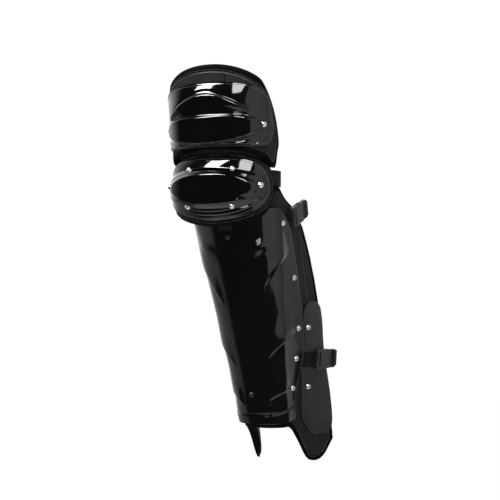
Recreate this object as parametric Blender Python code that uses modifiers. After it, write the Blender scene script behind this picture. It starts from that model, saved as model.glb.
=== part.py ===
# One umpire leg guard: moulded plates over padded liners for the thigh, the knee and the shin.
# Metres, +Z up. The front faces -Y and the buckles are on the +X side.
# The origin is on the inner face of the shin liner, at the middle of the shin.

import math

import bmesh
import bpy
import numpy as np
from mathutils import Matrix, Vector

# Walls and gaps
PLATE_WALL = 0.003
SEAT_GAP = 0.0003
PAD_GAP = 0.0007
SHIN_PAD_GAP = 0.0015
THIGH_FOAM = 0.014
KNEE_FOAM = 0.016
KNEE_EDGE_FOAM = 0.008
SHIN_FOAM = 0.0135
WING_FOAM = 0.006

# Shin section
SHIN_BOTTOM = -0.163
SHIN_HEIGHT = 0.348
SHIN_LEAN = 0.3016
SHIN_TOP_HALF_WIDTH = 0.0826
SHIN_ANKLE_HALF_WIDTH = 0.0425
SHIN_TOP_NOSE = 0.041
SHIN_ANKLE_NOSE = 0.034
SHIN_REACH = 0.091
CHEVRON_STEP = 0.0022
SHIN_REAR_LIFT = 0.008

# Side wings of the shin liner
WING_TOP = 0.216
WING_DROP = 0.062
WING_REACH = 0.147
WING_SPLAY = 0.42
FAR_WING_SPLAY = 0.55
SPLAY_TOP = 0.120
SPLAY_EASE = 0.030
LINER_BELOW_PLATE = 0.008

# Ankle side plates
ANKLE_PLATE_WALL = 0.0025
ANKLE_PLATE_TOP = 0.035
ANKLE_PLATE_HEIGHT = 0.223
ANKLE_PLATE_MARGIN = 0.0030
ANKLE_PLATE_FRONT_LOW = 0.064
ANKLE_PLATE_FRONT_TOP = 0.083
ANKLE_PLATE_SEAT = 0.0011

# Knee section
KNEE_MIDDLE = 0.2150
KNEE_PLATE_HEIGHT = 0.099
KNEE_HALF_WIDTH = 0.0865
KNEE_NOSE = 0.038
KNEE_REACH = 0.0385
KNEE_FRONT = -0.118
KNEE_BOWL = 0.011
KNEE_DOME_RISE = 0.009
KNEE_MARGIN = 0.0095
KNEE_SIDE_MARGIN = 0.018

# Thigh section
THIGH_GAP = 0.003
THIGH_PLATE_HEIGHT = 0.098
THIGH_HALF_WIDTH = 0.0895
THIGH_NOSE = 0.038
THIGH_REACH = 0.051
THIGH_FRONT = -0.120
THIGH_LEAN = 0.060
THIGH_RIB_RISE = 0.0045
THIGH_DOME_RISE = 0.0070
THIGH_TOP_MARGIN = 0.029
THIGH_ROLL = math.radians(1.2)
THIGH_SIDE_MARGIN = 0.018
THIGH_BOTTOM_MARGIN = 0.0025
TAB_HALF_WIDTH = 0.033
TAB_HEIGHT = 0.013
TAB_WALL = 0.0012

# Webbing, straps and buckles
WEBBING_WIDTH = 0.025
WEBBING_WALL = 0.0015
STRAP_WALL = 0.0020
LINK_SPREAD = 0.042
HINGE_LENGTH = 0.060
HINGE_CLEARANCE = 0.005
SOCKET_LENGTH = 0.030
PLUG_LENGTH = 0.014
BUCKLE_HEIGHT = 0.032
BUCKLE_THICKNESS = 0.010
BUCKLE_SEAT = 0.0010
WINDOW_DEPTH = 0.0028
WINDOW_LENGTH = 0.011
WINDOW_SLOPE = 0.0012
WINDOW_SHIFT = 0.0036
BUCKLE_EDGE = 0.0012
CALF_STRAP_HEIGHT = 0.169
CALF_STRAP_RISE = 0.42
CALF_STRAP_FAR_HEIGHT = 0.142
CALF_TAB_LENGTH = 0.0045
ANKLE_STRAP_HEIGHT = -0.060
ANKLE_STRAP_RISE = 0.0
ANKLE_TAB_LENGTH = 0.022
CALF_BOW = 0.022
ANKLE_BOW = 0.024
KNEE_STRAP_HEIGHT = 0.2325
KNEE_STRAP_BOW = 0.058
STRAP_HOLD = 0.026
STRAP_EASE = 0.020

# Rivets
RIVET_RADIUS = 0.0044
RIVET_RISE = 0.0028
BLACK_RIVET_RADIUS = 0.0040
RIVET_SEAT = 0.0002

# Rear edge of the shin plate: height up the plate, reach as a share of the greatest
SHIN_EDGE = ((0.00, 0.51), (0.05, 0.53), (0.10, 0.555), (0.15, 0.60), (0.20, 0.69), (0.26, 0.785),
             (0.35, 0.91), (0.46, 0.985), (0.56, 0.97), (0.68, 0.935), (0.78, 0.87), (0.92, 0.72),
             (1.00, 0.60))

# Rear edge of the wing: height up the wing, reach as a share of the greatest
WING_EDGE = ((0.00, 0.72), (0.07, 0.82), (0.11, 0.865), (0.17, 0.888), (0.36, 0.89), (0.44, 0.91),
             (0.53, 0.975), (0.60, 1.00), (0.68, 1.00), (0.76, 0.95), (0.82, 0.87), (0.88, 0.78),
             (1.00, 0.70))

# Lower edge of the liner: share of the way round to the wing's rear edge, share of the wing's drop
LINER_HEM = ((0.00, 0.00), (0.46, 0.00), (0.52, 0.35), (0.58, 0.72), (0.65, 0.93), (0.72, 1.00),
             (0.80, 0.94), (0.88, 0.76), (0.94, 0.52), (1.00, 0.18))

# The far side's hem turns down sooner: the power that bends the share
FAR_HEM_POWER = 0.72

# Upper edge of the liner: share of the way round, share of the drop from the wing's top corner
LINER_CREST = ((0.00, 0.55), (0.50, 0.55), (0.64, 0.05), (0.68, 0.00), (0.73, 0.24), (0.81, 0.37),
               (0.90, 0.50), (0.96, 0.72), (1.00, 1.00))
CREST_FALL = 0.062

# Ankle plate: height up the plate, front and rear edge as shares of its width at that height
ANKLE_PLATE_SHAPE = ((0.00, 0.42, 0.72), (0.02, 0.30, 0.85), (0.05, 0.20, 0.95), (0.11, 0.07, 1.00),
                     (0.20, 0.00, 1.00), (0.40, 0.00, 1.00), (0.60, 0.00, 1.00), (0.80, 0.00, 1.00),
                     (0.90, 0.03, 1.00), (0.96, 0.18, 0.98), (0.99, 0.34, 0.88), (1.00, 0.45, 0.80))

# Chevron steps: height at the plate's rear edge and drop to the front, as shares of the height
CHEVRONS = ((0.807, 0.46), (0.438, 0.305), (0.162, 0.13))

# Finishes: base colour, metallic, roughness
FINISHES = {
    "gloss_black": ((0.012, 0.012, 0.013), 0.0, 0.08),
    "matt_plate": ((0.030, 0.030, 0.032), 0.0, 0.45),
    "liner_fabric": ((0.022, 0.023, 0.022), 0.0, 0.85),
    "webbing": ((0.028, 0.029, 0.026), 0.0, 0.80),
    "buckle_plastic": ((0.050, 0.052, 0.056), 0.0, 0.40),
    "nickel": ((0.75, 0.72, 0.68), 1.0, 0.18),
    "black_rivet": ((0.020, 0.020, 0.021), 0.3, 0.30),
}


def clear_scene():
    for thing in list(bpy.data.objects):
        bpy.data.objects.remove(thing, do_unlink=True)


def make_collection(name):
    group = bpy.data.collections.new(name)
    bpy.context.scene.collection.children.link(group)
    return group


def make_material(name, finish):
    colour, metallic, roughness = FINISHES[finish]
    material = bpy.data.materials.new(name)
    material.use_nodes = True
    shader = material.node_tree.nodes["Principled BSDF"]
    shader.inputs["Base Color"].default_value = (*colour, 1.0)
    shader.inputs["Metallic"].default_value = metallic
    shader.inputs["Roughness"].default_value = roughness
    return material


def mix(low, high, share):
    return low + (high - low) * share


def clamp(value, low=0.0, high=1.0):
    return max(low, min(high, value))


def smooth(share):
    share = clamp(share)
    return share * share * (3 - 2 * share)


def from_table(table, share, column=1):
    return float(np.interp(share, [row[0] for row in table], [row[column] for row in table]))


# Sections

ARC_ANGLES = np.linspace(0.0, math.pi / 2, 33)


def nose_lengths(half_width, nose):
    xs = half_width * np.sin(ARC_ANGLES)
    ys = nose * (1 - np.cos(ARC_ANGLES))
    return np.concatenate(([0.0], np.cumsum(np.hypot(np.diff(xs), np.diff(ys)))))


def half_length(half_width, nose, reach):
    return nose_lengths(half_width, nose)[-1] + reach - nose


def section_point(half_width, nose, along):
    # Sideways place and depth of a point on a U section, a length along from its middle
    lengths = nose_lengths(half_width, nose)
    run = abs(along)
    if run < lengths[-1]:
        angle = float(np.interp(run, lengths, ARC_ANGLES))
        across = half_width * math.sin(angle)
        depth = nose * (1 - math.cos(angle))
    else:
        across = half_width
        depth = nose + run - lengths[-1]
    return math.copysign(across, along), depth


# Shin surface

def shin_rise(z):
    return (z - SHIN_BOTTOM) / SHIN_HEIGHT


def shin_front(z):
    return -(PLATE_WALL + SHIN_PAD_GAP + SHIN_FOAM) - SHIN_LEAN * z


def shin_width(z):
    return mix(SHIN_ANKLE_HALF_WIDTH, SHIN_TOP_HALF_WIDTH, clamp(shin_rise(z), 0.0, 1.1))


def shin_nose(z):
    return mix(SHIN_ANKLE_NOSE, SHIN_TOP_NOSE, clamp(shin_rise(z), 0.0, 1.1))


def shin_reach(z):
    return SHIN_REACH * from_table(SHIN_EDGE, shin_rise(z))


def liner_bottom():
    return SHIN_BOTTOM - LINER_BELOW_PLATE


def wing_bottom():
    return liner_bottom() - WING_DROP


def wing_reach(z):
    return WING_REACH * from_table(WING_EDGE, (z - wing_bottom()) / (WING_TOP - wing_bottom()))


def shin_point(along, z, inset):
    # A point of the shin surface, its inset measured in from the outside of the plate
    across, depth = section_point(shin_width(z) - inset, shin_nose(z) - inset, along)
    splay = (WING_SPLAY if along > 0 else FAR_WING_SPLAY) * smooth((SPLAY_TOP - z) / (SPLAY_TOP - SHIN_BOTTOM))
    behind = max(0.0, depth + inset - shin_nose(z))
    across += math.copysign(splay * behind * behind / (behind + SPLAY_EASE), along)
    return Vector((across, shin_front(z) + inset + depth, z))


def shin_along(reach, z, inset):
    return half_length(shin_width(z) - inset, shin_nose(z) - inset, reach - inset)


def chevron_fall(share):
    return (1 - share) ** 2.2


def chevron_relief(share, z):
    # Every scale of the plate swells down to its own V-shaped step
    depth = 0.0
    for level, drop in CHEVRONS:
        above = z - SHIN_BOTTOM - SHIN_HEIGHT * (level - drop * chevron_fall(share))
        if above >= 0:
            depth = max(depth, 1 - above / 0.060)
    fade = smooth((share - 0.06) / 0.12) * smooth((0.80 - share) / 0.25)
    return CHEVRON_STEP * depth * fade


def plate_surface(along, z):
    place = shin_point(along, z, 0.0)
    share = abs(along) / shin_along(shin_reach(z), z, 0.0)
    outward = Vector((place.x, place.y - shin_front(z) - shin_nose(z), 0.0)).normalized()
    return place + outward * chevron_relief(share, z)


# Knee surface

def knee_spread():
    return half_length(KNEE_HALF_WIDTH, KNEE_NOSE, KNEE_REACH)


def knee_oval(share, margin, power=2.5):
    # Half the height of the knee's outline at a share of the way round
    return (KNEE_PLATE_HEIGHT / 2 + margin) * max(0.0, 1 - share ** power) ** (1 / power)


def knee_relief(along, z):
    # An oval dome in the middle of the cap
    across = along / (0.76 * knee_spread())
    up = (z - KNEE_MIDDLE - 0.02 * KNEE_PLATE_HEIGHT) / (0.23 * KNEE_PLATE_HEIGHT)
    return KNEE_DOME_RISE * smooth((1.40 - math.hypot(across, up)) / 0.45)


def knee_point(along, z, inset, relief=False):
    across, depth = section_point(KNEE_HALF_WIDTH - inset, KNEE_NOSE - inset, along)
    bowl = KNEE_BOWL * abs((z - KNEE_MIDDLE) / (KNEE_PLATE_HEIGHT / 2)) ** 3
    place = Vector((across, KNEE_FRONT + inset + depth + bowl, z))
    if relief:
        outward = Vector((across / KNEE_HALF_WIDTH ** 2, (depth - KNEE_NOSE) / KNEE_NOSE ** 2, 0.0))
        place += outward.normalized() * knee_relief(along, z)
    return place


# Thigh surface

def knee_top():
    return KNEE_MIDDLE + knee_oval(0.0, KNEE_MARGIN)


def thigh_bottom():
    return knee_top() + THIGH_GAP + THIGH_BOTTOM_MARGIN


def thigh_spread():
    return half_length(THIGH_HALF_WIDTH, THIGH_NOSE, THIGH_REACH)


def thigh_crest(share):
    # The height of the thigh plate's upper edge at a share of the way round
    return thigh_bottom() + THIGH_PLATE_HEIGHT * (1 - 0.68 * (1 - (1 - share ** 3) ** (1 / 3)))


def thigh_hem(share):
    # The height of the thigh pad's lower edge
    fall = 0.20 * share ** 12 - 0.15 * share ** 2
    return thigh_bottom() - THIGH_BOTTOM_MARGIN + THIGH_PLATE_HEIGHT * fall


def thigh_relief(along, z):
    # A crescent rib above a wide oval dome
    share = along / thigh_spread()
    up = (z - thigh_bottom()) / THIGH_PLATE_HEIGHT
    dome = THIGH_DOME_RISE * smooth((1.30 - math.hypot(share / 0.64, (up - 0.22) / 0.24)) / 0.35)
    rib_middle = 0.735 - 0.36 * share * share
    rib_half = 0.085 * max(0.04, 1 - (share / 0.66) ** 2) ** 0.5
    rib_fade = smooth((0.74 - abs(share)) / 0.22)
    rib = THIGH_RIB_RISE * smooth((1.8 - abs(up - rib_middle) / rib_half) / 1.0) * rib_fade
    return max(dome, rib)


def thigh_point(along, z, inset, relief=False):
    across, depth = section_point(THIGH_HALF_WIDTH - inset, THIGH_NOSE - inset, along)
    front = THIGH_FRONT - THIGH_LEAN * (z - thigh_bottom())
    place = Vector((across, front + inset + depth, z))
    if relief:
        outward = Vector((across / THIGH_HALF_WIDTH ** 2, (depth - THIGH_NOSE) / THIGH_NOSE ** 2, 0.0))
        place += outward.normalized() * thigh_relief(along, z)
    pivot = Vector((0.0, 0.0, thigh_bottom()))
    return Matrix.Rotation(-THIGH_ROLL, 3, "Y") @ (place - pivot) + pivot


# Building

def finish_object(thing, finish, group):
    thing.data.materials.append(make_material(thing.name, finish))
    group.objects.link(thing)
    return thing


def grid_sheet(name, place, shares_across, shares_up, wall, finish, group, weights=None, grow=-1.0):
    # A flat grid bent to its shape, then given its wall
    columns = len(shares_across) - 1
    rows = len(shares_up) - 1
    mesh = bpy.data.meshes.new(name)
    work = bmesh.new()
    bmesh.ops.create_grid(work, x_segments=columns, y_segments=rows, size=1.0)
    thing_weights = []
    for vertex in work.verts:
        across = shares_across[round((vertex.co.x + 1) / 2 * columns)]
        up = shares_up[round((vertex.co.y + 1) / 2 * rows)]
        vertex.co = place(across, up)
        thing_weights.append(weights(across, up) if weights else 1.0)
    work.to_mesh(mesh)
    work.free()
    thing = bpy.data.objects.new(name, mesh)
    wall_step = thing.modifiers.new("wall", "SOLIDIFY")
    wall_step.thickness = wall
    wall_step.offset = grow
    wall_step.use_even_offset = True
    if weights:
        thickness = thing.vertex_groups.new(name="thickness")
        for index, weight in enumerate(thing_weights):
            thickness.add([index], weight, "REPLACE")
        wall_step.vertex_group = "thickness"
    mesh.shade_smooth()
    return finish_object(thing, finish, group)


def spaced(low, high, steps):
    return [low + (high - low) * step / steps for step in range(steps + 1)]


def round_spaced(steps):
    # Shares from -1 to 1, closer together towards the ends of a rounded outline
    return [0.985 * math.sin(math.pi / 2 * share) for share in spaced(-1, 1, steps)]


def surface_frame(surface, along, z, radius):
    # Seat point, outward normal and the height of the surface round it over a head's radius
    step = 0.001
    middle = surface(along, z)
    side = (surface(along + step, z) - surface(along - step, z)).normalized()
    up = (surface(along, z + step) - surface(along, z - step)).normalized()
    normal = side.cross(up).normalized()
    proud = 0.0
    for turn in range(12):
        angle = math.tau * turn / 12
        for share in (0.5, 1.0):
            reach = radius * share
            rim = surface(along + reach * math.cos(angle), z + reach * math.sin(angle))
            proud = max(proud, (rim - middle).dot(normal))
    return middle, side, normal, proud


def rivet_mesh(radius, rise):
    mesh = bpy.data.meshes.new("rivet_head")
    work = bmesh.new()
    bmesh.ops.create_uvsphere(work, u_segments=10, v_segments=4, radius=radius)
    bmesh.ops.scale(work, vec=(1, 1, rise / radius), verts=work.verts)
    everything = work.verts[:] + work.edges[:] + work.faces[:]
    cut = bmesh.ops.bisect_plane(work, geom=everything, dist=1e-7, plane_co=(0, 0, 1e-6),
                                 plane_no=(0, 0, -1), clear_outer=True)
    rim = [part for part in cut["geom_cut"] if isinstance(part, bmesh.types.BMEdge)]
    bmesh.ops.holes_fill(work, edges=rim)
    bmesh.ops.recalc_face_normals(work, faces=work.faces)
    work.to_mesh(mesh)
    work.free()
    mesh.shade_smooth()
    return mesh


def add_rivet(name, surface, along, z, radius, finish, group):
    middle, side, normal, proud = surface_frame(surface, along, z, radius)
    thing = bpy.data.objects.new(name, rivet_mesh(radius, RIVET_RISE * radius / RIVET_RADIUS))
    up = normal.cross(side).normalized()
    turn = Matrix((side, up, normal)).transposed().to_4x4()
    thing.matrix_world = Matrix.Translation(middle + normal * (proud + RIVET_SEAT)) @ turn
    return finish_object(thing, finish, group)


def band(name, middles, edges, wall, finish, group):
    # A flat strap: its middle line, and the direction of its width at each point
    half = WEBBING_WIDTH / 2
    points = [Vector(point) for point in middles]
    widths = [Vector(edge).normalized() for edge in edges]

    def place(across, up):
        index = round(up)
        return points[index] + widths[index] * half * across

    return grid_sheet(name, place, (-1, 0, 1), list(range(len(points))), wall, finish, group, grow=0.0)


# Thigh section

def build_thigh(group):
    spread = thigh_spread()
    top = thigh_bottom() + THIGH_PLATE_HEIGHT

    def plate(across, up):
        share = abs(across)
        low = thigh_bottom() + THIGH_PLATE_HEIGHT * (0.28 * share ** 10 - 0.06 * share ** 2)
        return thigh_point(across * spread, mix(low, thigh_crest(share), up), 0.0, relief=True)

    rows = (0.0, 0.05, 0.12, 0.19, 0.27, 0.36, 0.44, 0.50, 0.56, 0.63, 0.69, 0.75, 0.81, 0.87, 0.93, 1.0)
    grid_sheet("thigh_plate", plate, round_spaced(26), rows, PLATE_WALL, "gloss_black", group)

    seat = PLATE_WALL + PAD_GAP
    pad_spread = spread + THIGH_SIDE_MARGIN

    def pad(across, up):
        share = abs(across)
        arch = top + THIGH_TOP_MARGIN - thigh_bottom()
        high = thigh_bottom() + arch * (1 - share ** 2.2) ** (1 / 2.2)
        return thigh_point(across * pad_spread, mix(thigh_hem(share), high, up), seat)

    grid_sheet("thigh_pad", pad, round_spaced(24), spaced(0, 1, 5), THIGH_FOAM, "liner_fabric", group)

    def tab(across, up):
        along = across * TAB_HALF_WIDTH
        z = thigh_crest(abs(along) / spread) + SEAT_GAP * 2 + TAB_HEIGHT * up
        return thigh_point(along, z, seat - SEAT_GAP - TAB_WALL)

    grid_sheet("thigh_top_tab", tab, spaced(-1, 1, 6), (0, 1), TAB_WALL, "webbing", group)
    for side, tag in ((1, "right"), (-1, "left")):
        rise = thigh_bottom() + 0.27 * THIGH_PLATE_HEIGHT
        add_rivet("thigh_rivet_" + tag, lambda along, z: thigh_point(along, z, 0.0, relief=True),
                  side * 0.80 * spread, rise, RIVET_RADIUS, "nickel", group)


# Knee section

def build_knee(group):
    spread = knee_spread()

    def plate(across, up):
        half = knee_oval(abs(across), 0.0, 2.5 if up > 0 else 2.0)
        return knee_point(across * spread, KNEE_MIDDLE + half * up, 0.0, relief=True)

    columns = round_spaced(24)
    rows = (-1.0, -0.92, -0.84, -0.74, -0.62, -0.50, -0.36, -0.18, 0.0, 0.18, 0.36, 0.50, 0.62, 0.74,
            0.84, 0.92, 1.0)
    grid_sheet("knee_cap", plate, columns, rows, PLATE_WALL, "gloss_black", group)

    seat = PLATE_WALL + PAD_GAP
    pad_spread = spread + KNEE_SIDE_MARGIN

    def pad(across, up):
        half = knee_oval(abs(across), KNEE_MARGIN, 2.2 if up > 0 else 1.9)
        return knee_point(across * pad_spread, KNEE_MIDDLE + half * up, seat)

    def foam(across, up):
        return mix(1.0, KNEE_EDGE_FOAM / KNEE_FOAM, smooth((abs(across) - 0.55) / 0.35))

    grid_sheet("knee_pad", pad, columns, spaced(-1, 1, 8), KNEE_FOAM, "liner_fabric", group, weights=foam)

    def surface(along, z):
        return knee_point(along, z, 0.0, relief=True)

    for side, tag in ((1, "right"), (-1, "left")):
        for name, share, level in (("upper", 0.39, 0.31), ("side", 0.83, 0.05), ("lower", 0.39, -0.27)):
            add_rivet(f"knee_rivet_{name}_{tag}", surface, side * share * spread,
                      KNEE_MIDDLE + level * KNEE_PLATE_HEIGHT, RIVET_RADIUS, "nickel", group)


# Shin section

def build_shin(group):
    rows = [0.0, 0.08, 0.25, 0.34, 0.53, 0.62, 0.71, 0.845, 0.88, 0.92, 1.0]
    for level, _ in CHEVRONS:
        rows += [level - 0.012, level]
    rows.sort()
    drops = [(0.0, 0.0)] + [row for row in reversed(CHEVRONS)] + [(0.92, 0.0)]
    half_columns = (0.10, 0.20, 0.30, 0.40, 0.50, 0.58, 0.66, 0.73, 0.80, 0.87, 0.93, 1.0)
    columns = [-share for share in reversed(half_columns)] + [0.0] + list(half_columns)

    def plate(across, up):
        share = abs(across)
        level = up - from_table(drops, up) * chevron_fall(share)
        lift = SHIN_REAR_LIFT * share ** 3 * (1 - up)
        corner = smooth((share - 0.80) / 0.20) * smooth((up - 0.80) / 0.20)
        z = SHIN_BOTTOM + SHIN_HEIGHT * (level - 0.06 * corner) + lift
        return plate_surface(across * shin_along(shin_reach(z), z, 0.0), z)

    grid_sheet("shin_plate", plate, columns, rows, PLATE_WALL, "gloss_black", group)

    seat = PLATE_WALL + SHIN_PAD_GAP

    def liner(across, up):
        share = abs(across)
        hem = from_table(LINER_HEM, share if across > 0 else share ** FAR_HEM_POWER)
        low = liner_bottom() - WING_DROP * hem
        high = WING_TOP - CREST_FALL * from_table(LINER_CREST, share)
        z = mix(low, high, up)
        along = shin_along(wing_reach(z), z, seat) * across
        return shin_point(along, z, seat)

    def foam(across, up):
        return mix(1.0, WING_FOAM / SHIN_FOAM, smooth((abs(across) - 0.40) / 0.25))

    grid_sheet("shin_pad", liner, spaced(-1, 1, 34), spaced(0, 1, 14), SHIN_FOAM, "liner_fabric",
               group, weights=foam)

    edge_rivets = ((0.935, 0.019), (0.685, 0.0125), (0.448, 0.0145), (0.305, 0.0145), (0.165, 0.0075))
    for side, tag in ((1, "right"), (-1, "left")):
        for index, (level, margin) in enumerate(edge_rivets):
            z = SHIN_BOTTOM + SHIN_HEIGHT * level
            along = shin_along(shin_reach(z), z, 0.0) - margin
            add_rivet(f"shin_rivet_{tag}_{index + 1}", plate_surface, side * along, z,
                      RIVET_RADIUS, "nickel", group)
    for level, tag in ((0.872, "upper"), (0.138, "lower")):
        z = SHIN_BOTTOM + SHIN_HEIGHT * level
        add_rivet("front_rivet_" + tag, plate_surface, 0.0, z, BLACK_RIVET_RADIUS, "black_rivet", group)


# Side plates

def build_ankle_plates(group):
    low = ANKLE_PLATE_TOP - ANKLE_PLATE_HEIGHT
    inset = PLATE_WALL + SHIN_PAD_GAP - ANKLE_PLATE_SEAT - ANKLE_PLATE_WALL
    heights = [row[0] for row in ANKLE_PLATE_SHAPE]

    def shape(side, across, up):
        z = mix(low, ANKLE_PLATE_TOP, up)
        front = max(shin_reach(z) + ANKLE_PLATE_MARGIN, mix(ANKLE_PLATE_FRONT_LOW, ANKLE_PLATE_FRONT_TOP, up))
        rear = wing_reach(z)
        low_edge = mix(front, rear, from_table(ANKLE_PLATE_SHAPE, up, 1))
        high_edge = mix(front, rear, from_table(ANKLE_PLATE_SHAPE, up, 2))
        reach = mix(low_edge, high_edge, across)
        return shin_point(side * shin_along(reach, z, inset), z, inset)

    grid_sheet("ankle_plate_right", lambda across, up: shape(1, across, up), spaced(0, 1, 4), heights,
               ANKLE_PLATE_WALL, "matt_plate", group)
    grid_sheet("ankle_plate_left", lambda across, up: shape(-1, 1 - across, up), spaced(0, 1, 4), heights,
               ANKLE_PLATE_WALL, "matt_plate", group)

    def face(along, z):
        return shin_point(along, z, inset)

    for side, tag in ((1, "right"), (-1, "left")):
        for level, share, place in ((0.812, 0.24, "upper"), (0.372, 0.24, "lower")):
            z = mix(low, ANKLE_PLATE_TOP, level)
            reach = mix(max(shin_reach(z), mix(ANKLE_PLATE_FRONT_LOW, ANKLE_PLATE_FRONT_TOP, level)),
                        wing_reach(z), share)
            add_rivet(f"ankle_rivet_{place}_{tag}", face, side * shin_along(reach, z, inset), z,
                      RIVET_RADIUS, "nickel", group)


# Webbing, buckles and straps

def wing_frame(side, depth, z, inset, rise):
    # Point on the wing, the strap's direction of travel there, its width and the outward normal
    step = 0.002

    def at(back, up):
        height = z + up
        reach = depth + back - shin_front(height)
        return shin_point(side * shin_along(reach, height, inset), height, inset)

    middle = at(0.0, 0.0)
    back = (at(step, 0.0) - at(-step, 0.0)).normalized()
    up = (at(0.0, step) - at(0.0, -step)).normalized()
    normal = (back.cross(up) * side).normalized()
    travel = (back + up * rise).normalized()
    width = (normal.cross(travel) * side).normalized()
    return middle, travel, width, normal


def block(name, middle, axes, size, finish, group, windows=False):
    # A moulded block along a strap, drawn in at its side windows if it is a socket
    travel, width, normal = axes
    mesh = bpy.data.meshes.new(name)
    work = bmesh.new()
    bmesh.ops.create_cube(work, size=1.0)
    bmesh.ops.scale(work, vec=size, verts=work.verts)
    if windows:
        half = WINDOW_LENGTH / 2
        for place in (-half - WINDOW_SLOPE, -half, half, half + WINDOW_SLOPE):
            bmesh.ops.bisect_plane(work, geom=work.verts[:] + work.edges[:] + work.faces[:],
                                   plane_co=(WINDOW_SHIFT + place, 0, 0), plane_no=(1, 0, 0))
        for vertex in work.verts:
            if abs(vertex.co.x - WINDOW_SHIFT) < half + WINDOW_SLOPE / 2:
                vertex.co.y -= math.copysign(WINDOW_DEPTH, vertex.co.y)
    bmesh.ops.recalc_face_normals(work, faces=work.faces)
    work.to_mesh(mesh)
    work.free()
    thing = bpy.data.objects.new(name, mesh)
    turn = Matrix((travel, width, travel.cross(width))).transposed().to_4x4()
    thing.matrix_world = Matrix.Translation(middle) @ turn
    edge = thing.modifiers.new("edge", "BEVEL")
    edge.width = BUCKLE_EDGE
    edge.segments = 1
    edge.limit_method = "ANGLE"
    return finish_object(thing, finish, group)


def build_closure(tag, height, far_height, rise, tab_length, base_inset, bow, group):
    # A webbing tab, a socket, a plug and the strap that runs on round the back
    slope = math.hypot(1.0, rise)
    corner = WEBBING_WIDTH / 2 / slope
    start = ANKLE_PLATE_MARGIN + max(shin_front(height - corner * side) + shin_reach(height - corner * side)
                                     - corner * rise * side for side in (-1, 0, 1))

    def near(run, lift):
        place = start + run / slope
        return wing_frame(1, place, height + rise * run / slope, base_inset - lift, rise)

    flat_lift = SEAT_GAP * 2 + WEBBING_WALL / 2
    tab_lift = BUCKLE_SEAT + WEBBING_WALL
    points = []
    edges = []
    for share in spaced(0, 1, 4):
        lift = mix(flat_lift, tab_lift, smooth(2 * share))
        place, _, width, _ = near((tab_length - SEAT_GAP) * share, lift)
        points.append(place)
        edges.append(width)
    band(tag + "_webbing", points, edges, WEBBING_WALL, "webbing", group)

    middle_lift = BUCKLE_SEAT + BUCKLE_THICKNESS / 2
    middle, travel, width, normal = near(tab_length + SEAT_GAP + SOCKET_LENGTH / 2, middle_lift)
    axes = (travel, width, normal)
    block(tag + "_buckle_socket", middle, axes, (SOCKET_LENGTH, BUCKLE_HEIGHT, BUCKLE_THICKNESS),
          "buckle_plastic", group, windows=True)
    plug_middle = middle + travel * (SOCKET_LENGTH / 2 + SEAT_GAP + PLUG_LENGTH / 2)
    plug_size = (PLUG_LENGTH, BUCKLE_HEIGHT - BUCKLE_EDGE, BUCKLE_THICKNESS - BUCKLE_EDGE)
    block(tag + "_buckle_plug", plug_middle, axes, plug_size, "buckle_plastic", group)

    # The far end is sewn on the other wing, and leaves it at the wing's rear edge
    rear = shin_front(far_height) + wing_reach(far_height)

    def far(run):
        lift = mix(middle_lift, flat_lift + SEAT_GAP, smooth(run / STRAP_EASE))
        return wing_frame(-1, rear + STRAP_EASE - run, far_height, base_inset - lift, 0.0)

    end = plug_middle + travel * (PLUG_LENGTH / 2 + SEAT_GAP + STRAP_WALL / 4)
    far_end = far(0.0)[0]
    points = []
    edges = []
    for turn in spaced(0, math.pi, 20):
        side = math.copysign(abs(math.cos(turn)) ** 0.667, math.cos(turn))
        share = (1 - side) / 2
        fall = smooth(2 * share)
        loop = Vector((mix(end.x, far_end.x, share), mix(end.y, far_end.y, share), mix(end.z, far_end.z, fall)))
        points.append(loop + Vector((0, bow * math.sin(turn) ** 0.667, 0)))
        edges.append(width.lerp(Vector((0, 0, 1)), fall))
    for run in spaced(0, STRAP_EASE + STRAP_HOLD, 8)[1:]:
        place, _, across, _ = far(run)
        points.append(place)
        edges.append(across)
    band(tag + "_strap", points, edges, STRAP_WALL, "webbing", group)


def build_links(group):
    # Webbing between the thigh and the knee, and between the knee and the shin
    wall_middle = PLATE_WALL - WEBBING_WALL / 2
    pad_middle = PLATE_WALL + PAD_GAP + THIGH_FOAM / 2
    for side, tag in ((1, "right"), (-1, "left")):

        def link(across, up):
            # Over the knee pad's upper edge to the lower edge of the thigh pad
            along = side * LINK_SPREAD + WEBBING_WIDTH / 2 * across
            low = KNEE_MIDDLE + knee_oval(abs(along) / knee_spread(), 0.0) + SEAT_GAP * 2
            high = thigh_hem(abs(along) / (thigh_spread() + THIGH_SIDE_MARGIN)) - SEAT_GAP * 3
            z = mix(low, high, up)
            turn = smooth((up - 0.55) / 0.45)
            return knee_point(along, z, wall_middle).lerp(thigh_point(along, z, pad_middle), turn)

        grid_sheet("thigh_knee_webbing_" + tag, link, spaced(-1, 1, 4), (0, 0.3, 0.6, 0.8, 1), WEBBING_WALL,
                   "webbing", group, grow=0.0)

    lift = WEBBING_WALL / 2 + SEAT_GAP * 2
    behind = PLATE_WALL + PAD_GAP + KNEE_FOAM + lift
    base = SHIN_BOTTOM + SHIN_HEIGHT * 0.895
    points = [Vector((0, shin_front(z) - lift, z)) for z in (base, base + 0.005)]
    for rise, clear in ((0.16, 1.0), (0.30, 0.6), (0.50, 0.08)):
        z = KNEE_MIDDLE - KNEE_PLATE_HEIGHT / 2 + HINGE_LENGTH * rise
        points.append(knee_point(0.0, z, behind + HINGE_CLEARANCE * clear))
    band("knee_shin_webbing", points, [(1, 0, 0)] * len(points), WEBBING_WALL, "webbing", group)


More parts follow.
